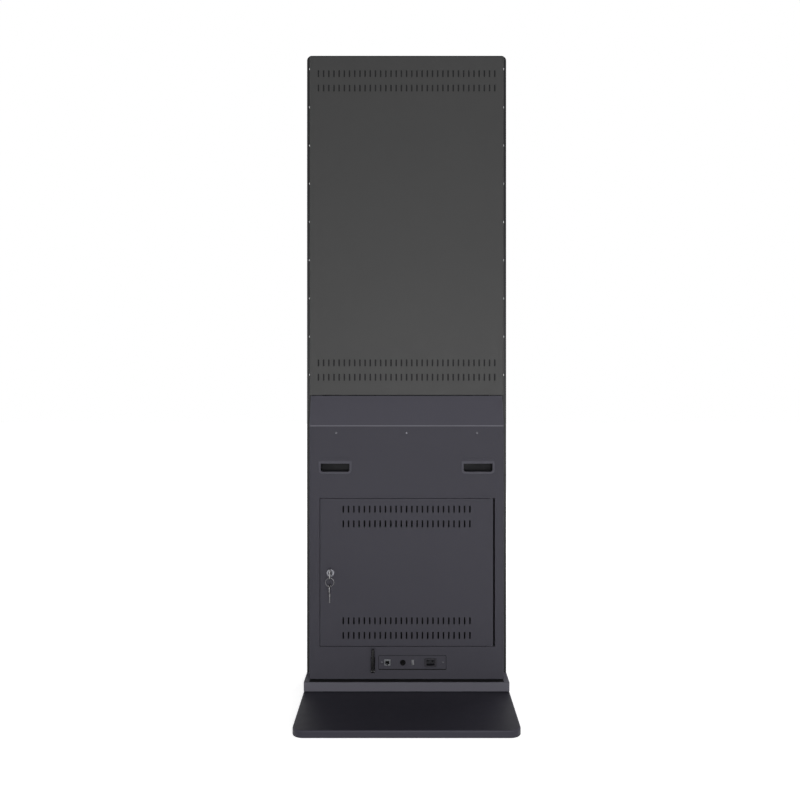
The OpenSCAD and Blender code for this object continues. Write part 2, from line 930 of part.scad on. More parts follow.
module upper_vents() {
    for (i = [0, 1]) {
        vent_row(upper_slots, upper_top_z - upper_row_drop - i * row_pitch);
        vent_row(upper_slots, upper_low_z + upper_row_rise + i * row_pitch);
    }
}

module door_vents() {
    for (i = [0, 1]) {
        vent_row(door_slots, door_top_z - door_row_inset - i * row_pitch);
        vent_row(door_slots, door_low_z + door_row_inset + i * row_pitch);
    }
}

upper_screw_zs = spread(upper_low_z + foot_screw_inset, upper_top_z - side_screw_inset, upper_side_screws);
lower_screw_zs = spread(housing_low_z + foot_screw_inset, slope_low_z - rear_screw_drop, lower_side_screws);
top_screw_xs = spread(side_screw_inset - upper_w / 2, upper_w / 2 - side_screw_inset, top_screws);
rear_screw_z = slope_low_z - rear_screw_drop;

// Pan-head screw along +Z, its head above the origin, its shank below
module pan_screw(d, head_d, head_h, grip) {
    translate([0, 0, -grip]) cylinder(h = grip, d = d);
    intersection() {
        cylinder(h = head_h, d = head_d);
        translate([0, 0, head_h - head_d]) sphere(d = 2 * head_d);
    }
}

module cover_screw() {
    pan_screw(screw_d, screw_head_d, screw_head_h, screw_grip);
}

// Places of the screws on both sides of a cover, with +Z of the screw pointing outwards
module side_screw_places(w, zs) {
    for (s = [-1, 1], z = zs) {
        translate([s * w / 2, side_screw_y, z]) rotate([0, s * 90, 0]) children();
    }
}

module top_screw_places() {
    for (x = top_screw_xs) {
        translate([x, side_screw_y, upper_top_z]) children();
    }
}

module rear_screw_places() {
    for (x = [-rear_screw_x, 0, rear_screw_x]) {
        translate([x, lower_y, rear_screw_z]) rotate([-90, 0, 0]) children();
    }
}

module screw_hole() {
    translate([0, 0, -screw_grip - over]) cylinder(h = screw_grip + 2 * over, d = screw_hole_d);
}

module upper_screw_places() {
    side_screw_places(upper_w, upper_screw_zs) children();
    top_screw_places() children();
}

module cover_screws() {
    color(steel) {
        upper_screw_places() cover_screw();
        side_screw_places(lower_w, lower_screw_zs) cover_screw();
    }
}

module housing_screws() {
    color(steel) rear_screw_places() cover_screw();
}

// Way for the cables through the floor of the upper cover and the top of the housing
module cable_way() {
    box([-cable_way_w / 2, frame_rear_y - over, slope_top_z - 2 * cover_sheet],
        [cable_way_w / 2, upper_y - cover_sheet - cable_way_lip, upper_low_z + 2 * cover_sheet]);
}

// Way for both uprights through the floors of the covers, with room for them to slide past
module upright_way() {
    riser(housing_low_z - over, upper_low_z + 2 * cover_sheet) intersection() {
        union() {
            upright_plan(-pass_gap);
            other_side() upright_plan(-pass_gap);
        }
        rect(-half_w, half_w, frame_front_y, upper_y - cover_sheet);
    }
}

module upper_rear_cover() {
    in_r = max(cover_edge_r - cover_sheet, least_r);
    color(cover_grey) difference() {
        riser(upper_low_z, upper_top_z) cover_plan(upper_w, frame_rear_y, upper_y, cover_edge_r);
        riser(upper_low_z + cover_sheet, upper_top_z - cover_sheet) {
            cover_plan(upper_w - 2 * cover_sheet, frame_rear_y - over, upper_y - cover_sheet, in_r);
        }
        slab(upper_y - 2 * cover_sheet, upper_y + over) upper_vents();
        upper_screw_places() screw_hole();
        cable_way();
        upright_way();
    }
}

// Side view of the housing in Y and Z, drawn in by an inset, with its slope
slope_angle = atan2(lower_y - upper_y, slope_top_z - slope_low_z);

module housing_side(inset, front) {
    polygon([
        [front, housing_low_z + inset],
        [lower_y - inset, housing_low_z + inset],
        [lower_y - inset, slope_low_z - inset * tan(slope_angle / 2)],
        [upper_y - inset * (1 - sin(slope_angle)) / cos(slope_angle), slope_top_z - inset],
        [front, slope_top_z - inset]
    ]);
}

module housing_block(inset, front, r) {
    intersection() {
        riser(housing_low_z - over, slope_top_z + over) {
            cover_plan(lower_w - 2 * inset, front, lower_y - inset, r);
        }
        bar(-half_w, half_w) housing_side(inset, front);
    }
}

handle_hole_gap = 0.5;
handle_r = 6;

module handle_places() {
    for (s = [-1, 1]) {
        translate([s * handle_x, handle_z]) children();
    }
}

port_r = 3;

module lower_rear_housing() {
    in_r = max(cover_edge_r - cover_sheet, least_r);
    hole_w = handle_w + 2 * (handle_wall + handle_hole_gap);
    hole_h = handle_h + 2 * (handle_wall + handle_hole_gap);
    color(cover_grey) {
        difference() {
            housing_block(0, frame_rear_y, cover_edge_r);
            housing_block(cover_sheet, frame_rear_y - over, in_r);
            slab(lower_y - 2 * cover_sheet, lower_y + over) {
                rect(jamb_left_x, jamb_right_x, door_low_z - door_gap, door_top_z + door_gap);
                translate([port_x, port_z]) round_rect(port_w, port_h, port_r);
                handle_places() round_rect(hole_w, hole_h, handle_r + handle_wall + handle_hole_gap);
            }
            side_screw_places(lower_w, lower_screw_zs) screw_hole();
            rear_screw_places() screw_hole();
            rod_y(antenna_x, lower_y - 2 * cover_sheet, lower_y + over, antenna_z, socket_d + 2 * hole_gap);
            cable_way();
            upright_way();
        }
        slab(jamb_back_y, lower_y) {
            rect(jamb_right_x, jamb_right_x + cover_sheet, door_low_z - door_gap, door_top_z + door_gap);
            rect(jamb_left_x - cover_sheet, jamb_left_x, door_low_z - door_gap, door_top_z + door_gap);
        }
    }
}

// Angle along Z on the frame's rim, with its upstand under a cover's side
module side_rail(cover_w, low, high) {
    out_x = cover_w / 2 - cover_sheet - rail_gap;
    riser(low, high) {
        rect(rim_in_x + rail_gap, out_x, frame_rear_y, frame_rear_y + rail_t);
        rect(out_x - rail_t, out_x, frame_rear_y, frame_rear_y + rail_rise);
    }
}

rail_end = 24;

module rail_upper_right() {
    color(inner_black) difference() {
        side_rail(upper_w, upper_low_z + rail_end, upper_top_z - rail_end);
        side_screw_places(upper_w, upper_screw_zs) screw_hole();
    }
}

module rail_upper_left() {
    other_side() rail_upper_right();
}

module rail_lower_right() {
    color(inner_black) difference() {
        side_rail(lower_w, housing_low_z + rail_end, slope_low_z - rail_gap);
        side_screw_places(lower_w, lower_screw_zs) screw_hole();
    }
}

module rail_lower_left() {
    other_side() rail_lower_right();
}

module rail_upper_top() {
    out_z = upper_top_z - cover_sheet - rail_gap;
    color(inner_black) difference() {
        bar(rail_end - upper_w / 2, upper_w / 2 - rail_end) {
            rect(frame_rear_y, frame_rear_y + rail_t, upright_top_z + rail_gap, out_z);
            rect(frame_rear_y, frame_rear_y + rail_rise, out_z - rail_t, out_z);
        }
        top_screw_places() screw_hole();
    }
}

// Service door and its hinges

door_mid_z = door_low_z + door_h / 2;
pivot_block_x = hinge_x + hinge_inset;
bracket_half = 12;
bracket_h = 22;
bracket_back = 8;

// The same piece at the top and at the bottom of the door
module both_ends() {
    children();
    translate([0, 0, 2 * door_mid_z]) mirror([0, 0, 1]) children();
}

module pivot_block() {
    box([door_left_x, door_back_y, door_top_z - pivot_block_h], [pivot_block_x, lower_y, door_top_z]);
}

module pivot_bore() {
    rod_z(hinge_x, hinge_y, door_top_z - pin_depth - over, door_top_z + over, hinge_pin_d + 2 * fit_gap);
}

module service_door() {
    color(cover_grey) difference() {
        union() {
            slab(door_in_y, lower_y) rect(door_left_x, door_right_x, door_low_z, door_top_z);
            slab(door_back_y, lower_y) difference() {
                rect(door_left_x, door_right_x, door_low_z, door_top_z);
                rect(door_left_x + cover_sheet, door_right_x - cover_sheet,
                     door_low_z + cover_sheet, door_top_z - cover_sheet);
            }
            both_ends() pivot_block();
        }
        both_ends() pivot_bore();
        slab(door_in_y - over, lower_y + over) door_vents();
        rod_y(lock_x, door_in_y - over, lower_y + over, lock_z, barrel_d + 2 * hole_gap);
    }
}

// Bracket on the housing's inner face, with a tab over the door's corner
module hinge_bracket() {
    low = door_top_z + bracket_gap;
    difference() {
        union() {
            box([hinge_x - bracket_half, lower_in_y - bracket_t, low],
                [hinge_x + bracket_half, lower_in_y, low + bracket_h]);
            box([hinge_x - bracket_half, hinge_y - bracket_back, low],
                [hinge_x + bracket_half, lower_in_y, low + bracket_t]);
        }
        rod_z(hinge_x, hinge_y, low - over, low + bracket_t + over, hinge_pin_d + fit_gap);
    }
}

module hinge_brackets() {
    color(steel) both_ends() hinge_bracket();
}

// Pin with its head on the bracket's tab and its end in the door's pivot block
module hinge_pin() {
    tab_z = door_top_z + bracket_gap + bracket_t;
    rod_z(hinge_x, hinge_y, door_top_z - pin_depth, tab_z, hinge_pin_d);
    intersection() {
        rod_z(hinge_x, hinge_y, tab_z, tab_z + pin_head_h, pin_head_d);
        box([hinge_x - pin_head_d, hinge_y - pin_head_d, tab_z],
            [hinge_x + pin_head_d, lower_in_y - bracket_t - hole_gap, tab_z + pin_head_h]);
    }
}

module hinge_pins() {
    color(steel) both_ends() hinge_pin();
}

// Lock and keys

tail_d = 8;
cam_screw_d = 4;
cam_screw_in = 5;
cam_head_d = 10;
cam_head_h = 3;
lock_nut_rim = 4;
lock_nut_d = barrel_d + 2 * lock_nut_rim;
keyway_gap = 0.2;
plug_sink = 0.5;
blade_end_y = bezel_y + key_shoulder_gap - blade_l;

module lock_barrel() {
    color(steel) difference() {
        union() {
            rod_y(lock_x, barrel_end_y, lower_y, lock_z, barrel_d);
            rod_y(lock_x, lower_y, bezel_y, lock_z, bezel_d);
        }
        rod_y(lock_x, barrel_end_y - over, bezel_y + over, lock_z, plug_d + 2 * fit_gap);
    }
}

module lock_nut() {
    color(steel) difference() {
        translate([lock_x, door_in_y, lock_z]) rotate([90, 0, 0])
            cylinder(h = lock_nut_t, d = lock_nut_d, $fn = 6);
        rod_y(lock_x, door_in_y - lock_nut_t - over, door_in_y + over, lock_z, barrel_d + 2 * fit_gap);
    }
}

module lock_plug() {
    color(steel) difference() {
        union() {
            rod_y(lock_x, barrel_end_y, bezel_y - plug_sink, lock_z, plug_d);
            rod_y(lock_x, cam_y - cam_t, barrel_end_y + over, lock_z, tail_d);
        }
        box([lock_x - key_t / 2 - keyway_gap, blade_end_y - keyway_gap, lock_z - blade_w / 2 - keyway_gap],
            [lock_x + key_t / 2 + keyway_gap, bezel_y + over, lock_z + blade_w / 2 + keyway_gap]);
        rod_y(lock_x, cam_y - cam_t - over, cam_y - cam_t + cam_screw_in + hole_gap, lock_z,
              cam_screw_d + 2 * fit_gap);
    }
}

// Cam behind the door: it points up when open, and behind the jamb after a quarter turn
module lock_cam() {
    color(steel) slab(cam_y - cam_t, cam_y) translate([lock_x, lock_z]) difference() {
        union() {
            circle(d = cam_w);
            translate([-cam_w / 2, 0]) square([cam_w, cam_reach - cam_w / 2]);
            translate([0, cam_reach - cam_w / 2]) circle(d = cam_w);
        }
        circle(d = tail_d + 2 * fit_gap);
    }
}

module cam_screw() {
    color(steel) {
        rod_y(lock_x, cam_y - cam_t, cam_y - cam_t + cam_screw_in, lock_z, cam_screw_d);
        rod_y(lock_x, cam_y - cam_t - cam_head_h, cam_y - cam_t, lock_z, cam_head_d);
    }
}

bow_r = 6;
shoulder_step = 2;
shoulder_w = blade_w + 2 * shoulder_step;
bit_pitch = 4;
bit_size = 1.6;

// Outline of a key about the middle of its bow's slot, with its blade towards -X
module key_outline() {
    bow_out = bow_slot_w / 2 + bow_rim;
    bow_in = bow_out - bow_l;
    shoulder = bow_in - shoulder_l;
    difference() {
        union() {
            translate([bow_out - bow_l / 2, 0]) round_rect(bow_l, bow_w, bow_r);
            rect(shoulder, bow_in + over, -shoulder_w / 2, shoulder_w / 2);
            rect(shoulder - blade_l, shoulder + over, -blade_w / 2, blade_w / 2);
        }
        slot(bow_slot_w, bow_slot_l);
        for (i = [1 : 4]) {
            translate([shoulder - blade_l + i * bit_pitch, -blade_w / 2])
                rotate(45) square(bit_size, center = true);
        }
    }
}

module door_key() {
    color(steel) translate([0, slot_y, lock_z]) bar(lock_x - key_t / 2, lock_x + key_t / 2) key_outline();
}

module key_ring() {
    color(steel) translate([lock_x, slot_y, ring_z]) rotate([90, 0, 0]) {
        rotate_extrude() translate([ring_r, 0]) circle(d = wire_d);
    }
}

// Spare key, hanging with its blade down from the lowest point of the ring
module spare_key() {
    slot_z = spare_z + wire_d / 2 + ring_gap - bow_slot_w / 2;
    color(steel) translate([0, slot_y, slot_z]) bar(lock_x - key_t / 2, lock_x + key_t / 2) {
        rotate(90) key_outline();
    }
}

// Carrying handles

cup_back_y = lower_y - handle_depth;
grip_t = 4;

module handle_right() {
    out_w = handle_w + 2 * handle_wall;
    out_h = handle_h + 2 * handle_wall;
    color(black) translate([handle_x, 0, handle_z]) {
        difference() {
            union() {
                slab(cup_back_y - handle_wall, lower_y) round_rect(out_w, out_h, handle_r + handle_wall);
                slab(lower_y, lower_y + handle_rim_t) {
                    round_rect(out_w + 2 * handle_rim, out_h + 2 * handle_rim,
                        handle_r + handle_wall + handle_rim);
                }
            }
            slab(cup_back_y, lower_y + handle_rim_t + over) round_rect(handle_w, handle_h, handle_r);
        }
        slab(lower_y + handle_rim_t - grip_t, lower_y + handle_rim_t) intersection() {
            round_rect(handle_w + handle_wall, handle_h + handle_wall, handle_r + handle_wall / 2);
            rect(-handle_w, handle_w, handle_h / 2 - grip_drop, handle_h);
        }
    }
}

module handle_left() {
    other_side() handle_right();
}

// Connector plate

port_face_y = lower_in_y;
fit_cut = 0.3;
lan_proud = 1;
lan_front_y = port_face_y + lan_proud;
lan_latch_w = 5;
lan_latch_h = 3;
lan_socket_depth = 15;
button_bezel_h = 2.5;
button_rim = 1.5;
button_body_d = button_bezel_d - 2 * button_rim;
button_body_l = 16;
button_l = 10;
button_floor_gap = 0.5;
usb_wall = 1;
usb_proud = 0.5;
usb_tongue_gap = 0.4;
usb_tongue_t = 1.8;
usb_socket_depth = 12;
inlet_flange_t = 3;
inlet_side_rim = 4;
inlet_end_rim = 2.5;
inlet_body_w = inlet_w - 2 * inlet_side_rim;
inlet_body_h = inlet_h - 2 * inlet_end_rim;
inlet_wall = 2;
inlet_socket_depth = 17;
inlet_r = 4;
pin_w = 2;
pin_h = 4;
pin_l = 14;
pin_spacing = 14;
pin_offset = 4;

module at_port(along) {
    translate([port_x + along, 0, port_z]) children();
}

module port_screw_places() {
    for (s = [-1, 1]) {
        at_port(s * port_screw_reach) translate([0, port_face_y, 0]) rotate([-90, 0, 0]) children();
    }
}

module io_plate() {
    color(cover_grey) difference() {
        slab(port_plate_y, port_face_y) difference() {
            translate([port_x, port_z]) {
                round_rect(port_w + 2 * port_margin, port_h + 2 * port_margin, port_r);
            }
            translate([port_x + lan_at, port_z]) square(lan_w + 2 * fit_cut, center = true);
            translate([port_x + button_at, port_z]) circle(d = button_body_d + 2 * fit_cut);
            translate([port_x + usb_at, port_z])
                square([usb_w + 2 * fit_cut, usb_h + 2 * fit_cut], center = true);
            translate([port_x + inlet_at, port_z]) {
                square([inlet_body_w + 2 * fit_cut, inlet_body_h + 2 * fit_cut], center = true);
            }
        }
        port_screw_places() translate([0, 0, -screw_grip])
            cylinder(h = screw_grip + over, d = port_screw_d + screw_play);
    }
}

module io_screws() {
    color(steel) port_screw_places()
        pan_screw(port_screw_d, port_screw_d * head_ratio, port_screw_d * head_rise, screw_grip);
}

module lan_jack() {
    color(steel) at_port(lan_at) difference() {
        slab(port_plate_y - lan_depth, lan_front_y) square(lan_w, center = true);
        slab(lan_front_y - lan_socket_depth, lan_front_y + over) {
            square([lan_hole_w, lan_hole_h], center = true);
            translate([0, -lan_hole_h / 2]) square([lan_latch_w, 2 * lan_latch_h], center = true);
        }
    }
}

button_face_y = port_face_y + button_bezel_h;

module button_housing() {
    color(black) at_port(button_at) difference() {
        union() {
            rod_y(0, port_face_y, button_face_y, 0, button_bezel_d);
            rod_y(0, button_face_y - button_body_l, port_face_y + over, 0, button_body_d);
        }
        rod_y(0, button_face_y - button_l - button_travel - button_floor_gap, button_face_y + over, 0,
              button_d + 2 * fit_gap);
    }
}

module power_button() {
    color(black) at_port(button_at)
        rod_y(0, button_face_y - button_l, button_face_y + button_cap_out, 0, button_d);
}

module usb_port() {
    front_y = port_face_y + usb_proud;
    color(steel) at_port(usb_at) {
        difference() {
            slab(port_plate_y - usb_depth, front_y) square([usb_w, usb_h], center = true);
            slab(front_y - usb_socket_depth, front_y + over) {
                square([usb_w - 2 * usb_wall, usb_h - 2 * usb_wall], center = true);
            }
        }
        translate([-usb_w / 2 + usb_wall, 0, 0]) slab(front_y - usb_socket_depth - over, front_y - over) {
            translate([usb_tongue_t / 2 + usb_tongue_gap, 0])
                square([usb_tongue_t, usb_h - 4 * usb_wall], center = true);
        }
    }
}

module power_inlet() {
    front_y = port_face_y + inlet_flange_t;
    socket_y = front_y - inlet_socket_depth;
    color(black) at_port(inlet_at) {
        difference() {
            union() {
                slab(port_face_y, front_y) round_rect(inlet_w, inlet_h, inlet_r);
                slab(inlet_end_y, port_face_y + over) square([inlet_body_w, inlet_body_h], center = true);
            }
            slab(socket_y, front_y + over) {
                square([inlet_body_w - 2 * inlet_wall, inlet_body_h - 2 * inlet_wall], center = true);
            }
        }
        slab(socket_y - over, socket_y + pin_l) {
            translate([0, pin_offset]) square([pin_w, pin_h], center = true);
            for (s = [-1, 1]) {
                translate([s * pin_spacing / 2, 0]) square([pin_w, pin_h], center = true);
            }
        }
    }
}

// Antenna

socket_nut_t = 2.5;
socket_out = 8;
knuckle_step = 0.5;
knuckle_d = sleeve_d - 2 * knuckle_step;
knuckle_gap = 0.5;
fork_l = 2.5;
fork_round = 1.15;
pivot_sink = 0.5;
eye_step = 1;
knuckle_y = lower_y + socket_nut_t + knuckle_gap;
knuckle_end_y = tilt_y - knuckle_d / 2 - fork_l;
eye_d = knuckle_d - eye_step;
eye_t = 4.6;
ear_gap = 0.3;
ear_out = knuckle_d / 2;
sleeve_lift = 2;
sleeve_start = knuckle_d / 2 + sleeve_lift;

module antenna_socket() {
    color(steel) translate([antenna_x, 0, antenna_z]) {
        rod_y(0, lower_in_y - socket_out, lower_y + socket_out, 0, socket_d);
        for (y = [lower_in_y, lower_y + socket_nut_t]) {
            translate([0, y, 0]) rotate([90, 0, 0]) cylinder(h = socket_nut_t, d = socket_nut_d, $fn = 6);
        }
    }
}

// Outline in Y and Z of what turns about the tilt axis, from the axis back to y
module knuckle_ear(y) {
    translate([tilt_y, 0]) circle(d = knuckle_d);
    rect(y, tilt_y, -knuckle_d / 2, knuckle_d / 2);
}

module antenna_knuckle() {
    color(black) translate([antenna_x, 0, antenna_z]) {
        difference() {
            rod_y(0, knuckle_y, knuckle_end_y, 0, knuckle_d);
            rod_y(0, knuckle_y - over, lower_y + socket_out + ear_gap, 0, socket_d + 2 * fit_gap);
        }
        intersection() {
            union() {
                bar(eye_t / 2 + ear_gap, ear_out) knuckle_ear(knuckle_end_y - over);
                bar(-ear_out, -eye_t / 2 - ear_gap) knuckle_ear(knuckle_end_y - over);
            }
            rod_y(0, knuckle_end_y - over, tilt_y + knuckle_d, 0, fork_round * knuckle_d);
        }
        rod_x(pivot_sink - ear_out, ear_out - pivot_sink, tilt_y, 0, pivot_d);
    }
}

module antenna_whip() {
    color(black) translate([antenna_x, tilt_y, antenna_z]) difference() {
        union() {
            rod_x(-eye_t / 2, eye_t / 2, 0, 0, eye_d);
            box([-eye_t / 2, -eye_d / 2, 0], [eye_t / 2, eye_d / 2, sleeve_start + over]);
            rod_z(0, 0, sleeve_start, sleeve_l, sleeve_d);
            rod_z(0, 0, sleeve_l - over, antenna_l - rod_d / 2, rod_d);
            translate([0, 0, antenna_l - rod_d / 2]) sphere(d = rod_d);
        }
        rod_x(-eye_t, eye_t, 0, 0, pivot_d + 2 * fit_gap);
    }
}

// Equipment behind the service door

supply_ear = 8;
fin_count = 9;
sink_w = 70;
sink_base_t = 4;
fin_h = 12;
fin_t = 1.5;
sink_offset = 20;

module equipment_plate() {
    color(inner_black) slab(equip_y, equip_rear_y) rect(-equip_w / 2, equip_w / 2, equip_low_z, equip_top_z);
}

module power_supply() {
    low = supply_x - supply_w / 2;
    high = supply_x + supply_w / 2;
    color(steel) difference() {
        union() {
            box([low, equip_rear_y, supply_z], [high, equip_rear_y + supply_d, supply_z + supply_h]);
            box([low - supply_ear, equip_rear_y, supply_z + supply_ear],
                [high + supply_ear, equip_rear_y + equip_t, supply_z + supply_h - supply_ear]);
        }
        box([low + supply_sheet, equip_rear_y - over, supply_z + supply_sheet],
            [high - supply_sheet, equip_rear_y + supply_d - supply_sheet,
             supply_z + supply_h - supply_sheet]);
        slab(equip_rear_y + supply_d - 2 * supply_sheet, equip_rear_y + supply_d + over) {
            for (x = [-3 : 3], z = [1 : 4]) {
                translate([supply_x + x * slot_pitch, supply_z + z * supply_h / 5]) slot(slot_w, slot_l);
            }
        }
    }
}

module main_board() {
    board_y = equip_rear_y + spacer_h;
    top_y = board_y + board_t;
    sink_x = board_x - sink_offset;
    sink_z = board_z + board_w / 2;
    color(board_green) {
        circuit_board(board_x - board_w / 2, equip_rear_y, board_z, board_w, board_w);
        cable_block(board_y, board_z + board_w - plug_block_h);
        box([sink_x - sink_w / 2, board_y, sink_z - sink_w / 2],
            [sink_x + sink_w / 2, top_y + sink_base_t, sink_z + sink_w / 2]);
        for (x = spread(sink_x - sink_w / 2, sink_x + sink_w / 2 - fin_t, fin_count)) {
            box([x, top_y, sink_z - sink_w / 2],
                [x + fin_t, top_y + sink_base_t + fin_h, sink_z + sink_w / 2]);
        }
        box([board_x - board_w / 2, board_y, board_z],
            [board_x + board_w / 4, top_y + plug_block_h, board_z + plug_block_w]);
    }
}

lead_rise_z = port_z + lead_rise;

// Quarter bend of the power lead about +Z, from +X round to +Y
module lead_bend(r) {
    rotate_extrude(angle = 90) translate([r, 0]) circle(d = lead_d);
}

// Lead from the inlet's back, up, across and up into the supply's foot
module power_lead() {
    back_y = lead_y + lead_back_r;
    across_z = lead_rise_z + lead_side_r;
    up_z = across_z + lead_side_r;
    color(black) {
        rod_y(inlet_x, back_y, inlet_end_y, port_z, lead_d);
        translate([inlet_x, back_y, port_z + lead_back_r]) rotate([90, 0, 90]) rotate(180)
            lead_bend(lead_back_r);
        rod_z(inlet_x, lead_y, port_z + lead_back_r, lead_rise_z, lead_d);
        translate([inlet_x - lead_side_r, lead_y, lead_rise_z]) rotate([90, 0, 0]) lead_bend(lead_side_r);
        rod_x(supply_x + lead_side_r, inlet_x - lead_side_r, lead_y, across_z, lead_d);
        translate([supply_x + lead_side_r, lead_y, up_z]) rotate([90, 0, 0]) rotate(180)
            lead_bend(lead_side_r);
        rod_z(supply_x, lead_y, up_z, supply_z, lead_d);
    }
}

module display_cable() {
    color(black) rod_z(cable_x, cable_y, board_z + board_w, driver_low_z, cable_d);
}

base_bottom_plate();
base_ballast();
base_cover();
base_screws();
collar();
foot_left();
foot_right();
foot_bolts();
upright_left();
upright_right();
crossbars();
frame_left();
frame_right();
frame_top();
frame_bottom();
front_glass();
touch_sensor();
lcd_cell();
backlight();
lcd_tray();
driver_board();
touch_controller();
lower_front_panel();
upper_rear_cover();
lower_rear_housing();
service_door();
rail_upper_left();
rail_upper_right();
rail_upper_top();
rail_lower_left();
rail_lower_right();
cover_screws();
housing_screws();
hinge_brackets();
hinge_pins();
lock_barrel();
lock_nut();
lock_plug();
lock_cam();
cam_screw();
door_key();
key_ring();
spare_key();
handle_left();
handle_right();
io_plate();
lan_jack();
power_button();
button_housing();
usb_port();
power_inlet();
io_screws();
antenna_socket();
antenna_knuckle();
antenna_whip();
equipment_plate();
power_supply();
main_board();
power_lead();
display_cable();
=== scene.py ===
"""Floor-standing portrait kiosk, seen from behind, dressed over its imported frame.

Lengths are in metres, and the angles that fields hold are in degrees.
"""

import logging
import math
from dataclasses import dataclass
from enum import Enum, IntEnum
from typing import Callable, Iterable, Sequence

import bmesh
import bpy
from mathutils import Matrix, Vector


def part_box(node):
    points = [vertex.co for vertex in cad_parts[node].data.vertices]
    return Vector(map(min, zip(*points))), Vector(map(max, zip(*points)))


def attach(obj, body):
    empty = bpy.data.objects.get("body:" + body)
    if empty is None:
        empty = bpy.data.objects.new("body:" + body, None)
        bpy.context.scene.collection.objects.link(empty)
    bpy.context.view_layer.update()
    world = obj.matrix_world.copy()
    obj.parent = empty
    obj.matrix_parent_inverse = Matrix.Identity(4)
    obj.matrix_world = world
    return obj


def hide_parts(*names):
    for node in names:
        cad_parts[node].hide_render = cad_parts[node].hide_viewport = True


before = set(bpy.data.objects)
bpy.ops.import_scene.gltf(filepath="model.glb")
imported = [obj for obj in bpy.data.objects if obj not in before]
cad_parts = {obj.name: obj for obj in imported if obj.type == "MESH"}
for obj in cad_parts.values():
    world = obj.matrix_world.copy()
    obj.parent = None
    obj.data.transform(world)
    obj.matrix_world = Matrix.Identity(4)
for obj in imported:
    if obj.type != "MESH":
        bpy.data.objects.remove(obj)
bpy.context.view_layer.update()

log = logging.getLogger("kiosk")

Colour = tuple[float, float, float]
Point = tuple[float, float, float]
Pair = tuple[float, float]
Face = bpy.types.MeshPolygon
Material = bpy.types.Material
Mesh = bpy.types.Mesh
Object = bpy.types.Object
Shape = bmesh.types.BMesh
Socket = bpy.types.NodeSocket

# The standard screen curve: a straight foot, then a power
SCREEN_WHITE = 255
FOOT_END = 0.04045
FOOT_SLOPE = 12.92
CURVE_SHIFT = 0.055
CURVE_POWER = 2.4

# Detail of a noise texture and the part of its grey range that is used
FINE_DETAIL = 2.0
SOFT_DETAIL = 3.0
CLOUD_DETAIL = 4.0
NOISE_ROUGHNESS = 0.55
NOISE_RANGE = (0.3, 0.7)

# Angles in degrees and a distance in metres that tell flat, sharp and joined apart
FLAT_ANGLE = 0.4
SHARP_ANGLE = 48.0
JOIN_REACH = 1e-6

# Bevel of a round edge
ROUND_PROFILE = 0.5
ROUND_SEGMENTS = 2


class Body(Enum):
    """The bodies of the frame that pieces ride on."""

    KIOSK = "kiosk"
    DOOR = "service_door"
    PLUG = "lock_plug"
    KEY = "door_key"
    RING = "key_ring"
    SPARE = "spare_key"
    BUTTON = "power_button"
    KNUCKLE = "antenna_knuckle"
    WHIP = "antenna_whip"


class Axis(Enum):
    """An axis by its place in a vector."""

    X = 0
    Y = 1
    Z = 2


class MixSocket(IntEnum):
    """The places of a colour mix node's sockets."""

    SHARE = 0
    FIRST = 6
    SECOND = 7
    RESULT = 2


class Chance(Enum):
    """Kinds of random value, with the places of the least, the most and the result on the node."""

    FLOAT = (2, 3, 1)
    FLOAT_VECTOR = (0, 1, 0)


def srgb(red: int, green: int, blue: int) -> Colour:
    """Turn a screen colour into scene-linear light.

    Args:
        red: Red, 0 to 255.
        green: Green, 0 to 255.
        blue: Blue, 0 to 255.

    Returns:
        The linear red, green and blue.
    """

    def linear(value: int) -> float:
        """Undo the screen curve of one channel.

        Args:
            value: Level of the channel, 0 to 255.

        Returns:
            Its linear level, 0 to 1.
        """
        share = value / SCREEN_WHITE
        if share <= FOOT_END:
            return share / FOOT_SLOPE
        return ((share + CURVE_SHIFT) / (1 + CURVE_SHIFT)) ** CURVE_POWER

    return linear(red), linear(green), linear(blue)


def tinted(colour: Colour, factor: float) -> tuple[float, float, float, float]:
    """Scale a colour's brightness and add an opaque alpha."""
    return colour[0] * factor, colour[1] * factor, colour[2] * factor, 1.0


def grey(value: float) -> tuple[float, float, float, float]:
    """Give an opaque grey."""
    return value, value, value, 1.0


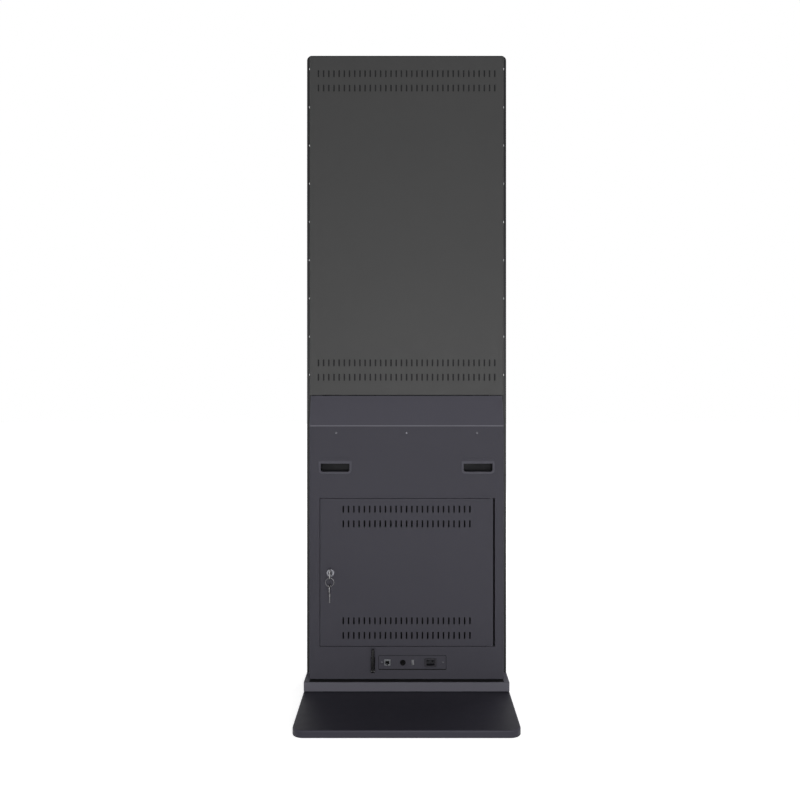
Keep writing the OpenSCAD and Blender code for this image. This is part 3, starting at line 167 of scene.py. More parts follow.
class Graph:
    """Short hand for building a node tree."""

    def __init__(self, tree: bpy.types.NodeTree) -> None:
        """Keep the tree that nodes are added to."""
        self.tree = tree

    def node(self, kind: str, inputs: dict | None = None, **settings: object) -> bpy.types.Node:
        """Add a node, set its properties and fill its inputs.

        Args:
            kind: Blender's name of the node class.
            inputs: Input name or index to a value, or to a socket to link from.
            **settings: Properties of the node.

        Returns:
            The new node.
        """
        node = self.tree.nodes.new(kind)
        for name, value in settings.items():
            setattr(node, name, value)
        for key, value in (inputs or {}).items():
            socket = node.inputs[key]
            if isinstance(value, Socket):
                self.tree.links.new(value, socket)
            else:
                socket.default_value = value
        return node

    def math(self, operation: str, first: object, second: object = 0.0) -> Socket:
        """Add a math node and return its value."""
        return self.node("ShaderNodeMath", {0: first, 1: second}, operation=operation).outputs[0]

    def noise(self, vector: Socket, scale: float, detail: float = SOFT_DETAIL) -> Socket:
        """Add a noise texture and return its grey output."""
        inputs = {"Vector": vector, "Scale": scale, "Detail": detail, "Roughness": NOISE_ROUGHNESS}
        return self.node("ShaderNodeTexNoise", inputs).outputs["Fac"]

    def spread(self, value: Socket, low: float, high: float) -> Socket:
        """Map a grey value around its middle to a range.

        Args:
            value: Grey value of a noise.
            low: Lower end of the range.
            high: Upper end of the range.

        Returns:
            The value in that range.
        """
        start, end = NOISE_RANGE
        inputs = {"Value": value, "From Min": start, "From Max": end, "To Min": low, "To Max": high}
        return self.node("ShaderNodeMapRange", inputs).outputs["Result"]

    def mix(self, share: object, first: object, second: object, blend: str = "MIX") -> Socket:
        """Mix two colours by a grey share.

        Args:
            share: Share of the second colour.
            first: First colour.
            second: Second colour.
            blend: Blender's name of the way to mix them.

        Returns:
            The mixed colour.
        """
        inputs = {MixSocket.SHARE: share, MixSocket.FIRST: first, MixSocket.SECOND: second}
        node = self.node("ShaderNodeMix", inputs, data_type="RGBA", blend_type=blend)
        return node.outputs[MixSocket.RESULT]


class Skin(Graph):
    """The node tree of a material, with its principled surface and object coordinates."""

    def __init__(self, name: str) -> None:
        """Start a material.

        Args:
            name: Name of the material.
        """
        self.material = bpy.data.materials.new(name)
        self.material.use_nodes = True
        super().__init__(self.material.node_tree)
        self.surface = self.tree.nodes["Principled BSDF"]
        self.coords = self.node("ShaderNodeTexCoord").outputs["Object"]

    def mapped(self, **inputs: Point) -> Socket:
        """Scale or turn the object coordinates."""
        return self.node("ShaderNodeMapping", {"Vector": self.coords, **inputs}).outputs["Vector"]

    def mottled(self, share: Socket, colour: Colour, swing: Pair) -> Socket:
        """Let a colour's brightness drift between two factors."""
        return self.mix(self.spread(share, 0.0, 1.0), *(tinted(colour, factor) for factor in swing))

    def rubbed(self, tone: Socket, colour: Colour, gain: float) -> Socket:
        """Lighten a tone where the mesh is marked, for rubbed paint and for painted highlights and painted
        light.
        """
        wear = self.node("ShaderNodeAttribute", attribute_name="edge_wear_and_painted_light").outputs["Fac"]
        return self.mix(wear, tone, tinted(colour, gain))

    def feed(self, **inputs: object) -> None:
        """Link sockets to the surface's inputs, or set them to values.

        Args:
            **inputs: Names of the inputs, with _ for a blank, to their sockets or values.
        """
        for name, value in inputs.items():
            socket = self.surface.inputs[name.replace("_", " ")]
            if isinstance(value, Socket):
                self.tree.links.new(value, socket)
            else:
                socket.default_value = value

    def bump(self, height: Socket, strength: float, depth: float) -> None:
        """Feed a height into the surface's normal.

        Args:
            height: Socket with the height.
            strength: Share of the bump that shows.
            depth: Depth of the bump in metres.
        """
        inputs = {"Strength": strength, "Distance": depth, "Height": height}
        self.feed(Normal=self.node("ShaderNodeBump", inputs).outputs["Normal"])


@dataclass(frozen=True)
class FootShade:
    """Painted shade that darkens the paint along the foot of a piece that stands on it."""

    foot: str
    fade: float
    shade: float

    def over(self, skin: Skin, colour: Socket) -> Socket:
        """Darken a colour close to the piece's foot with painted shade.

        Args:
            skin: Skin of the paint.
            colour: Colour of the paint without the painted shade.

        Returns:
            The colour with its band of painted shade.
        """
        low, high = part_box(self.foot)
        centre, half = (low[1] + high[1]) / 2, (high[1] - low[1]) / 2
        across = skin.node("ShaderNodeSeparateXYZ", {0: skin.coords}).outputs["Y"]
        away = skin.math("ABSOLUTE", skin.math("SUBTRACT", across, centre))
        reach = {"Value": away, "From Min": half, "From Max": half + self.fade}
        # Share of the unshaded paint, 0 at the foot: the darkened colour below is painted shade
        unshaded_share = skin.node("ShaderNodeMapRange", reach).outputs["Result"]
        dull = skin.mix(1.0, colour, grey(self.shade), "MULTIPLY")
        return skin.mix(unshaded_share, dull, colour)


@dataclass(frozen=True)
class PowderCoat:
    """Textured paint on sheet metal: fine orange peel, soft mottling, rubbed edges and painted highlights on
    marked faces, and painted shade along a foot where one is given.
    """

    name: str
    colour: Colour
    roughness: float = 0.5
    specular: float = 0.4
    grain: float = 1100.0
    grain_depth: float = 0.00012
    edge_gain: float = 1.45
    # Painted shade along the foot of a piece that stands on the paint, where given
    foot_shade: FootShade | None = None
    grain_strength: float = 0.35
    cloud_scale: float = 4.0
    cloud_swing: Pair = (0.98, 1.02)
    fleck_share: float = 0.5
    fleck_gain: float = 1.12
    sheen_scale: float = 35.0
    sheen_swing: float = 0.025

    def material(self) -> Material:
        """Build the coat's material.

        Returns:
            The material of painted sheet metal.
        """
        skin = Skin(self.name)
        cloud = skin.noise(skin.coords, self.cloud_scale, CLOUD_DETAIL)
        speck = skin.noise(skin.coords, self.grain, FINE_DETAIL)
        tone = skin.mottled(cloud, self.colour, self.cloud_swing)
        flecks = skin.spread(speck, 0.0, self.fleck_share)
        flecked = skin.mix(flecks, tone, tinted(self.colour, self.fleck_gain))
        coat = skin.rubbed(flecked, self.colour, self.edge_gain)
        # Painted shade along the foot
        if self.foot_shade is not None:
            coat = self.foot_shade.over(skin, coat)
        low, high = self.roughness - self.sheen_swing, self.roughness + self.sheen_swing
        sheen = skin.spread(skin.noise(skin.coords, self.sheen_scale), low, high)
        skin.feed(Base_Color=coat, Roughness=sheen, Specular_IOR_Level=self.specular)
        skin.bump(speck, self.grain_strength, self.grain_depth)
        return skin.material


@dataclass(frozen=True)
class PlatedMetal:
    """Plated or brushed metal with fine lines, cloudy sheen and rubbed edges."""

    name: str
    colour: Colour
    roughness: float = 0.25
    line_scale: Point = (900.0, 900.0, 30.0)
    line_depth: float = 0.00002
    edge_gain: float = 1.15
    line_strength: float = 0.25
    cloud_scale: float = 60.0
    cloud_swing: Pair = (0.88, 1.0)
    sheen_swing: Pair = (0.06, 0.1)

    def material(self) -> Material:
        """Build the metal's material.

        Returns:
            The material of plated metal.
        """
        skin = Skin(self.name)
        lines = skin.noise(skin.mapped(Scale=self.line_scale), 1.0, FINE_DETAIL)
        tone = skin.mottled(skin.noise(skin.coords, self.cloud_scale), self.colour, self.cloud_swing)
        less, more = self.sheen_swing
        skin.feed(
            Base_Color=skin.rubbed(tone, self.colour, self.edge_gain),
            Metallic=1.0,
            Roughness=skin.spread(lines, self.roughness - less, self.roughness + more),
        )
        skin.bump(lines, self.line_strength, self.line_depth)
        return skin.material


@dataclass(frozen=True)
class Moulding:
    """Moulded plastic or rubber with a spark-eroded grain."""

    name: str
    colour: Colour
    roughness: float = 0.5
    specular: float = 0.45
    grain: float = 1500.0
    grain_depth: float = 0.00006
    grain_strength: float = 0.3
    edge_gain: float = 1.5
    cloud_scale: float = 45.0
    cloud_swing: Pair = (0.85, 1.2)
    sheen_swing: float = 0.08

    def material(self) -> Material:
        """Build the plastic's material.

        Returns:
            The material of a moulded piece.
        """
        skin = Skin(self.name)
        grains = {"Vector": skin.coords, "Scale": self.grain}
        cells = skin.node("ShaderNodeTexVoronoi", grains).outputs["Distance"]
        cloud = skin.noise(skin.coords, self.cloud_scale)
        tone = skin.mottled(cloud, self.colour, self.cloud_swing)
        low, high = self.roughness - self.sheen_swing, self.roughness + self.sheen_swing
        skin.feed(
            Base_Color=skin.rubbed(tone, self.colour, self.edge_gain),
            Roughness=skin.spread(cloud, low, high),
            Specular_IOR_Level=self.specular,
        )
        skin.bump(cells, self.grain_strength, self.grain_depth)
        return skin.material


@dataclass(frozen=True)
class DarkGlass:
    """Toughened glass over a dark layer, with faint wipe marks."""

    name: str
    colour: Colour
    roughness: float = 0.05
    specular: float = 0.3
    wipe_stretch: Point = (3.0, 3.0, 9.0)
    wipe_scale: float = 2.0
    wipe_detail: float = 6.0
    wipe_swing: Pair = (0.9, 1.2)
    wipe_haze: float = 0.05

    def material(self) -> Material:
        """Build the glass's material.

        Returns:
            The material of dark glass.
        """
        skin = Skin(self.name)
        wipes = skin.noise(skin.mapped(Scale=self.wipe_stretch), self.wipe_scale, self.wipe_detail)
        skin.feed(
            Base_Color=skin.mottled(wipes, self.colour, self.wipe_swing),
            Roughness=skin.spread(wipes, self.roughness, self.roughness + self.wipe_haze),
            Specular_IOR_Level=self.specular,
        )
        return skin.material


@dataclass(frozen=True)
class SolderMask:
    """Circuit board lacquer with copper tracks under it."""

    name: str
    colour: Colour
    specular: float = 0.3
    roughness: Pair = (0.25, 0.4)
    track_scale: float = 60.0
    track_gap: float = 0.06
    track_length: float = 0.9
    track_pitch: float = 0.16
    track_gain: float = 1.7
    track_depth: float = 0.00004
    track_strength: float = 0.3
    cloud_scale: float = 90.0
    cloud_swing: Pair = (0.85, 1.1)

    def material(self) -> Material:
        """Build the board's material.

        Returns:
            The material of a lacquered board.
        """
        skin = Skin(self.name)
        layout = {
            "Vector": skin.mapped(Rotation=(math.pi / 2, 0, 0)),
            "Scale": self.track_scale,
            "Mortar Size": self.track_gap,
            "Brick Width": self.track_length,
            "Row Height": self.track_pitch,
        }
        tracks = skin.node("ShaderNodeTexBrick", layout).outputs["Fac"]
        cloud = skin.noise(skin.coords, self.cloud_scale)
        lacquer = skin.mottled(cloud, self.colour, self.cloud_swing)
        skin.feed(
            Base_Color=skin.mix(tracks, lacquer, tinted(self.colour, self.track_gain)),
            Roughness=skin.spread(cloud, *self.roughness),
            Specular_IOR_Level=self.specular,
        )
        skin.bump(tracks, self.track_strength, self.track_depth)
        return skin.material


class Slot(Enum):
    """The record's material slots."""

    BASE = "base_coat"
    BALLAST = "ballast_steel"
    UPPER = "upper_coat"
    LOWER = "lower_coat"
    COLLAR = "collar_coat"
    FRAME = "frame_coat"
    ZINC = "zinc_steel"
    INNER = "inner_coat"
    SCREW = "screw_steel"
    LOCK = "lock_chrome"
    KEY = "key_steel"
    HANDLE = "handle_plastic"
    GLASS = "screen_glass"
    STACK = "display_stack"
    DIFFUSER = "diffuser"
    BOARD = "circuit_board"
    JACK = "jack_metal"
    SOCKET = "socket_plastic"
    ANTENNA_METAL = "antenna_metal"
    ANTENNA = "antenna_plastic"
    LEAD = "lead_rubber"


# Painted shade on the base along the collar's foot, where its shadow falls
COLLAR_FOOT_SHADE = FootShade("collar", fade=0.016, shade=0.35)

FINISHES = {
    # The base's high edge gain sets the painted highlight on its rolled edge and the painted light on its
    # sides
    Slot.BASE: PowderCoat(
        "base satin coat", srgb(44, 43, 50), roughness=0.45, specular=0.12, grain=1300.0,
        grain_depth=0.00008, edge_gain=3.0, foot_shade=COLLAR_FOOT_SHADE,
    ),
    Slot.BALLAST: PlatedMetal("ground ballast plate", srgb(120, 120, 124), roughness=0.45),
    Slot.UPPER: PowderCoat("upper cover coat", srgb(66, 66, 66), roughness=0.55, specular=0.2),
    # Its edge gain also sets the painted light on the slope
    Slot.LOWER: PowderCoat(
        "lower housing coat", srgb(69, 68, 75), roughness=0.55, specular=0.05, edge_gain=1.8
    ),
    Slot.COLLAR: PowderCoat("collar coat", srgb(98, 97, 105), roughness=0.5, specular=0.06),
    Slot.FRAME: PowderCoat(
        "anodised frame", srgb(31, 31, 33), roughness=0.45, specular=0.2, grain=1800.0, grain_depth=0.00004,
        edge_gain=2.2,
    ),
    Slot.ZINC: PlatedMetal("zinc plated steel", srgb(128, 130, 132), roughness=0.42),
    Slot.INNER: PowderCoat("inner black coat", srgb(27, 27, 29), roughness=0.6, specular=0.2),
    Slot.SCREW: PlatedMetal("dark nickel screw", srgb(84, 84, 89), roughness=0.36),
    Slot.LOCK: PlatedMetal("polished lock plate", srgb(106, 106, 111), roughness=0.24),
    Slot.KEY: PlatedMetal("rubbed key nickel", srgb(118, 117, 118), roughness=0.3),
    Slot.HANDLE: Moulding("handle moulding", srgb(17, 17, 20), roughness=0.6, specular=0.15),
    Slot.GLASS: DarkGlass("screen glass", srgb(7, 7, 8)),
    Slot.STACK: Moulding("display stack", srgb(16, 16, 18), roughness=0.3),
    Slot.DIFFUSER: Moulding("white diffuser", srgb(228, 230, 230), roughness=0.6),
    Slot.BOARD: SolderMask("solder mask", srgb(26, 74, 46)),
    Slot.JACK: PlatedMetal("tinned jack shell", srgb(124, 126, 129), roughness=0.28),
    Slot.SOCKET: Moulding("socket moulding", srgb(9, 9, 10), roughness=0.45, specular=0.05),
    Slot.ANTENNA_METAL: PlatedMetal("antenna thread plate", srgb(196, 170, 108), roughness=0.25),
    Slot.ANTENNA: Moulding("antenna sleeve", srgb(15, 15, 16), roughness=0.22, specular=0.3),
    Slot.LEAD: Moulding("lead jacket", srgb(19, 19, 20), roughness=0.65, specular=0.08),
}

Finish = PowderCoat | PlatedMetal | Moulding | DarkGlass | SolderMask

_materials: dict[str, Material] = {}


def material_of(finish: Finish) -> Material:
    """Build a finish's material once and hand out the same one after that.

    Args:
        finish: Finish to look up.

    Returns:
        Its material.
    """
    if finish.name not in _materials:
        _materials[finish.name] = finish.material()
    return _materials[finish.name]


def publish(
    name: str,
    mesh: Mesh,
    body: Body,
    slot: Slot,
    replaced: Sequence[str] = (),
    material: Material | None = None,
) -> Object:
    """Put a finished mesh into the scene as a piece of the object.

    Args:
        name: Name of the piece.
        mesh: Its mesh, in its final place.
        body: Body that it rides on.
        slot: Material slot of the record.
        replaced: CAD nodes that it stands for.
        material: Material, where it isn't the slot's own finish.

    Returns:
        The new object.
    """
    if material is not None or not mesh.materials:
        mesh.materials.clear()
        mesh.materials.append(material or material_of(FINISHES[slot]))
    piece = bpy.data.objects.new(name, mesh)
    bpy.context.scene.collection.objects.link(piece)
    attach(piece, body.value)
    if replaced:
        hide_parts(*replaced)
    log.info("%s: %d faces on %s", name, len(mesh.polygons), body.value)
    return piece


def evaluated(carrier: Mesh, modify: Callable[[Object], None]) -> Mesh:
    """Run modifiers over a mesh and keep the result as a plain mesh.

    Args:
        carrier: Mesh to start from.
        modify: Adds the modifiers to the working object.

    Returns:
        The resulting mesh.
    """
    worker = bpy.data.objects.new("worker", carrier)
    bpy.context.scene.collection.objects.link(worker)
    modify(worker)
    graph = bpy.context.evaluated_depsgraph_get()
    mesh = bpy.data.meshes.new_from_object(worker.evaluated_get(graph), depsgraph=graph)
    worker.modifiers.clear()
    bpy.data.objects.remove(worker)
    return mesh


def weighted(mesh: Mesh, sharp: float = SHARP_ANGLE) -> Mesh:
    """Shade a mesh smooth with normals that follow its large faces.

    Args:
        mesh: Mesh to shade.
        sharp: Angle in degrees from which an edge stays sharp.

    Returns:
        The shaded mesh.
    """
    mesh.polygons.foreach_set("use_smooth", [True] * len(mesh.polygons))
    mesh.set_sharp_from_angle(angle=math.radians(sharp))

    def modify(worker: Object) -> None:
        """Add the weighted normals."""
        modifier = worker.modifiers.new("weighted", "WEIGHTED_NORMAL")
        modifier.keep_sharp = True

    return evaluated(mesh, modify)


def merged(node: str) -> Shape:
    """Copy a CAD node's triangles into one joined mesh with plain flat faces.

    Args:
        node: CAD node to copy.

    Returns:
        The working mesh, which the caller frees.
    """
    shape = bmesh.new()
    shape.from_mesh(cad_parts[node].data)
    bmesh.ops.remove_doubles(shape, verts=shape.verts, dist=JOIN_REACH)
    flat = math.radians(FLAT_ANGLE)
    bmesh.ops.dissolve_limit(shape, angle_limit=flat, verts=shape.verts, edges=shape.edges)
    return shape


@dataclass(frozen=True)
class Rounding:
    """How some of a shape's edges are rounded and how much they are lightened, as rubbed paint and, where a
    caller asks, as a painted highlight.
    """

    width: float = 0.0004
    segments: int = ROUND_SEGMENTS
    angle: float = 32.0
    # Rubbed paint, and on the bend and the handle rims a painted highlight
    wear: float = 0.4
    where: Callable[[bmesh.types.BMEdge], bool] | None = None
    clamp: bool = False

    def takes(self, edge: bmesh.types.BMEdge) -> bool:
        """Tell whether an edge is one of those rounded."""
        sharp = len(edge.link_faces) == 2 and edge.calc_face_angle(0.0) > math.radians(self.angle)
        return sharp and (self.where is None or self.where(edge))


def softened(node: str, *roundings: Rounding, cuts: Sequence[tuple[Vector, Axis]] = ()) -> Mesh:
    """Round a copy of a CAD node's sharp edges and mark them for rubbed paint and, where a rounding asks, a
    painted highlight.

    Args:
        node: CAD node to copy.
        *roundings: Roundings, applied one after the other.
        cuts: Points and axes of planes that split its faces first, where a print or a layer ends.

    Returns:
        The rounded mesh.
    """
    shape = merged(node)
    for place, axis in cuts:
        parts = shape.verts[:] + shape.edges[:] + shape.faces[:]
        normal = [float(i == axis.value) for i in range(3)]
        bmesh.ops.bisect_plane(shape, geom=parts, plane_co=place, plane_no=normal)
    wear = shape.faces.layers.float.new("edge_wear_and_painted_light")
    for rounding in roundings:
        edges = [edge for edge in shape.edges if rounding.takes(edge)]
        rounded = bmesh.ops.bevel(
            shape, geom=edges, offset=rounding.width, offset_type="OFFSET", segments=rounding.segments,
            profile=ROUND_PROFILE, affect="EDGES", clamp_overlap=rounding.clamp, material=-1,
        )
        for face in rounded["faces"]:
            face[wear] = rounding.wear
    mesh = bpy.data.meshes.new(node + "_soft")
    shape.to_mesh(mesh)
    shape.free()
    return weighted(mesh)


def dress(node: str, body: Body, slot: Slot, width: float) -> Object:
    """Stand a copy with rounded edges in for a CAD node, in the slot's own finish."""
    return publish(node + "_dressed", softened(node, Rounding(width)), body, slot, [node])


def paint(finish: Finish, *nodes: str) -> None:
    """Give CAD nodes that stay as they are a finish.

    Args:
        finish: Finish to give.
        *nodes: The CAD nodes.
    """
    for node in nodes:
        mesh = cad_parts[node].data
        mesh.materials.clear()
        mesh.materials.append(material_of(finish))
        log.info("%s: carried over in %s", node, finish.name)


def middle(node: str) -> Vector:
    """Give the middle of a CAD node's box."""
    low, high = (Vector(corner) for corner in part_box(node))
    return (low + high) / 2


def lathed(profile: Sequence[Pair], origin: Point, axis: Axis, steps: int) -> Shape:
    """Turn a profile round an axis.

    Args:
        profile: Pairs of radius and distance along the axis, in metres, from one pole to the other.
        origin: Point on the axis at distance zero.
        axis: Axis to turn round.
        steps: Faces round the turn.

    Returns:
        The closed turned shape.
    """
    shape = bmesh.new()
    first, second = [i for i in range(3) if i != axis.value]
    rings = []
    for radius, along in profile:
        ring = []
        for i in range(steps if radius > 0 else 1):
            turn = 2 * math.pi * i / steps
            place = list(origin)
            place[first] += radius * math.cos(turn)
            place[second] += radius * math.sin(turn)
            place[axis.value] += along
            ring.append(shape.verts.new(place))
        rings.append(ring)
    for low, high in zip(rings, rings[1:]):
        for i in range(steps):
            k = i + 1
            corners = (low[i % len(low)], low[k % len(low)], high[k % len(high)], high[i % len(high)])
            unique = list(dict.fromkeys(corners))
            if len(unique) > 2:
                shape.faces.new(unique)
    bmesh.ops.recalc_face_normals(shape, faces=shape.faces)
    return shape


def block(shape: Shape, low: Sequence[float], high: Sequence[float], soft: float = 0.0) -> None:
    """Add a box with rounded edges to a mesh.

    Args:
        shape: Mesh to add to.
        low: Lowest corner.
        high: Highest corner.
        soft: Rounding of its edges.
    """
    centre = [(a + b) / 2 for a, b in zip(low, high)]
    size = [b - a for a, b in zip(low, high)]
    place = Matrix.Translation(centre) @ Matrix.Diagonal((*size, 1.0))
    corners = bmesh.ops.create_cube(shape, size=1.0, matrix=place)["verts"]
    if soft > 0:
        edges = list({edge for corner in corners for edge in corner.link_edges})
        bmesh.ops.bevel(
            shape, geom=edges, offset=soft, segments=ROUND_SEGMENTS,
            profile=ROUND_PROFILE, affect="EDGES", clamp_overlap=True,
        )


def as_mesh(shape: Shape, name: str) -> Mesh:
    """Turn a working mesh into a finished one with weighted normals.

    Args:
        shape: Working mesh, which is freed.
        name: Name of the finished mesh.

    Returns:
        The shaded mesh.
    """
    mesh = bpy.data.meshes.new(name)
    shape.to_mesh(mesh)
    shape.free()
    return weighted(mesh)


class Pattern(Graph):
    """A geometry node tree with named inputs that is run once over a carrier mesh."""

    def __init__(self, name: str) -> None:
        """Start a tree that takes and gives geometry.

        Args:
            name: Name of the tree.
        """
        super().__init__(bpy.data.node_groups.new(name, "GeometryNodeTree"))
        self.tree.interface.new_socket("Geometry", in_out="INPUT", socket_type="NodeSocketGeometry")
        self.tree.interface.new_socket("Geometry", in_out="OUTPUT", socket_type="NodeSocketGeometry")
        self.entry = self.tree.nodes.new("NodeGroupInput")
        self.values: dict[str, object] = {}

    def take(self, name: str, value: object) -> Socket:
        """Add a named input.

        Args:
            name: Name of the input.
            value: A number, a vector or a material for it.

        Returns:
            The socket inside the tree.
        """
        kinds = {float: "NodeSocketFloat", int: "NodeSocketInt", Material: "NodeSocketMaterial"}
        kind = kinds.get(type(value), "NodeSocketVector")
        item = self.tree.interface.new_socket(name, in_out="INPUT", socket_type=kind)
        self.values[item.identifier] = value
        return self.entry.outputs[name]

    def vector(self, x: object, y: object, z: object) -> Socket:
        """Join three numbers to a vector."""
        return self.node("ShaderNodeCombineXYZ", {0: x, 1: y, 2: z}).outputs[0]

    def moved(self, geometry: Socket, offset: object, turn: object = (0, 0, 0)) -> Socket:
        """Shift and turn geometry."""
        inputs = {"Geometry": geometry, "Translation": offset, "Rotation": turn}
        return self.node("GeometryNodeTransform", inputs).outputs["Geometry"]

    def random(self, kind: Chance, least: object, most: object, seed: object) -> Socket:
        """Draw a random value for each point.

        Args:
            kind: Kind of the value.
            least: Lower end of its range.
            most: Upper end of its range.
            seed: Seed of the draw.

        Returns:
            The value.
        """
        low, high, result = kind.value
        inputs = {low: least, high: most, "Seed": seed}
        return self.node("FunctionNodeRandomValue", inputs, data_type=kind.name).outputs[result]

    def joined(self, *parts: Socket) -> Socket:
        """Join several geometries.

        Args:
            *parts: The geometries.

        Returns:
            All of them as one.
        """
        node = self.node("GeometryNodeJoinGeometry")
        for part in parts:
            self.tree.links.new(part, node.inputs[0])
        return node.outputs[0]

    def run(self, carrier: Mesh, result: Socket, material: Material) -> Mesh:
        """Close the tree and run it.

        Args:
            carrier: Mesh that the tree starts from.
            result: Geometry that the tree gives.
            material: Material of the result.

        Returns:
            The plain mesh.
        """
        coat = self.take("Material", material)
        whole = self.node("GeometryNodeRealizeInstances", {"Geometry": result}).outputs["Geometry"]
        coated = self.node("GeometryNodeSetMaterial", {"Geometry": whole, "Material": coat}).outputs[0]
        leave = self.tree.nodes.new("NodeGroupOutput")
        self.tree.links.new(coated, leave.inputs[0])

        def modify(worker: Object) -> None:
            """Add the tree with its inputs set.

            Args:
                worker: Object that carries the mesh.
            """
            modifier = worker.modifiers.new("pattern", "NODES")
            modifier.node_group = self.tree
            for identifier, value in self.values.items():
                modifier[identifier] = value

        return evaluated(carrier, modify)


def islands(node: str) -> list[list[Vector]]:
    """Give the points of each separate solid of a CAD node.

    Args:
        node: CAD node to look at.

    Returns:
        A list of points for each solid.
    """
    shape = merged(node)
    seen: set[int] = set()
    groups = []
    shape.verts.ensure_lookup_table()
    for start in shape.verts:
        if start.index in seen:
            continue
        seen.add(start.index)
        queue, group = [start], []
        while queue:
            vert = queue.pop()
            group.append(vert.co.copy())
            for edge in vert.link_edges:
                other = edge.other_vert(vert)
                if other.index not in seen:
                    seen.add(other.index)
                    queue.append(other)
        groups.append(group)
    shape.free()
    return groups


@dataclass
class ScrewSet:
    """Pan-head screws with a cross recess, set wherever a CAD node has one."""

    node: str
    head: float
    rise: float
    shank: float
    grip: float
    slot: Slot = Slot.SCREW
    recess: float = 0.16
    recess_reach: float = 0.58
    depth: float = 0.45
    crown: float = 0.4
    crown_from: float = 0.75
    head_reach: float = 0.4
    head_sides: int = 28
    head_layers: int = 2
    head_rings: int = 4
    head_sharp: float = 40.0
    shank_sides: int = 16
    seed: int = 7
    # Screws this close to the cover's sides or top take a brighter finish: a painted highlight
    rim_side: float = 0.020
    rim_top: float = 0.012
    rim_highlight_finish: PlatedMetal = PlatedMetal("nickel screw painted highlight", srgb(205, 205, 208), roughness=0.3)

    def carrier(self) -> Mesh:
        """Make a point under each head, with the direction that it faces.

        Returns:
            A mesh of loose points with a facing attribute.
        """
        places, facings = [], []
        for points in islands(self.node):
            low = Vector([min(p[i] for p in points) for i in range(3)])
            high = Vector([max(p[i] for p in points) for i in range(3)])
            size = high - low
            wide = min(range(3), key=lambda i: abs(size[(i + 1) % 3] - size[(i + 2) % 3]))
            across = [i for i in range(3) if i != wide]
            centre = (low + high) / 2
            reach = (self.head * self.head_reach) ** 2
            far = [p for p in points if sum((p[i] - centre[i]) ** 2 for i in across) > reach]
            upward = sum(p[wide] for p in far) / len(far) > centre[wide]
            facing = Vector((0, 0, 0))
            facing[wide] = 1.0 if upward else -1.0
            seat = centre.copy()
            seat[wide] = high[wide] - self.rise if upward else low[wide] + self.rise
            places.append(seat)
            facings.append(facing)
        mesh = bpy.data.meshes.new(self.node + "_places")
        mesh.from_pydata(places, [], [])
        layer = mesh.attributes.new("facing", "FLOAT_VECTOR", "POINT")
        layer.data.foreach_set("vector", [value for facing in facings for value in facing])
        return mesh

    def crowned(self, tree: Pattern, head: Socket, rise: Socket) -> Socket:
        """Make a head with a domed top.

        Args:
            tree: Pattern that the head belongs to.
            head: Diameter of the head.
            rise: Height of the head.

        Returns:
            The head, standing on its seat.
        """
        radius = tree.math("MULTIPLY", head, 0.5)
        drum = {
            "Vertices": self.head_sides,
            "Side Segments": self.head_layers,
            "Fill Segments": self.head_rings,
            "Radius": radius,
            "Depth": rise,
        }
        plain = tree.node("GeometryNodeMeshCylinder", drum).outputs["Mesh"]
        raised = tree.moved(plain, tree.vector(0.0, 0.0, tree.math("MULTIPLY", rise, 0.5)))
        place = tree.node("GeometryNodeInputPosition").outputs[0]
        x, y, z = tree.node("ShaderNodeSeparateXYZ", {0: place}).outputs
        spread = tree.math("ADD", tree.math("POWER", x, 2.0), tree.math("POWER", y, 2.0))
        share = tree.math("DIVIDE", spread, tree.math("POWER", radius, 2.0))
        drop = tree.math("MULTIPLY", tree.math("MULTIPLY", share, rise), -self.crown)
        above = tree.math("GREATER_THAN", z, tree.math("MULTIPLY", rise, self.crown_from))
        dome = {"Geometry": raised, "Selection": above, "Offset": tree.vector(0.0, 0.0, drop)}
        return tree.node("GeometryNodeSetPosition", dome).outputs[0]

    def crossed(self, tree: Pattern, solid: Socket, head: Socket, rise: Socket) -> Socket:
        """Cut the cross recess into a head.

        Args:
            tree: Pattern that the head belongs to.
            solid: The head.
            head: Diameter of the head.
            rise: Height of the head.

        Returns:
            The head with its recess.
        """
        long = tree.math("MULTIPLY", head, self.recess_reach)
        short = tree.math("MULTIPLY", head, self.recess)
        deep = tree.math("MULTIPLY", rise, 2 * self.depth)
        cut = tree.node("GeometryNodeMeshBoolean", {"Mesh 1": solid}, operation="DIFFERENCE", solver="EXACT")
        for sides in ((long, short), (short, long)):
            bar = tree.node("GeometryNodeMeshCube", {"Size": tree.vector(*sides, deep)}).outputs["Mesh"]
            tree.tree.links.new(tree.moved(bar, tree.vector(0.0, 0.0, rise)), cut.inputs["Mesh 2"])
        return cut.outputs["Mesh"]

    def stem(self, tree: Pattern, shank: Socket, grip: Socket) -> Socket:
        """Make the shank below the seat of a head.

        Args:
            tree: Pattern that the shank belongs to.
            shank: Diameter of the shank.
            grip: Length of the shank.

        Returns:
            The shank.
        """
        radius = tree.math("MULTIPLY", shank, 0.5)
        size = {"Vertices": self.shank_sides, "Radius": radius, "Depth": grip}
        rod = tree.node("GeometryNodeMeshCylinder", size).outputs["Mesh"]
        return tree.moved(rod, tree.vector(0.0, 0.0, tree.math("MULTIPLY", grip, -0.5)))

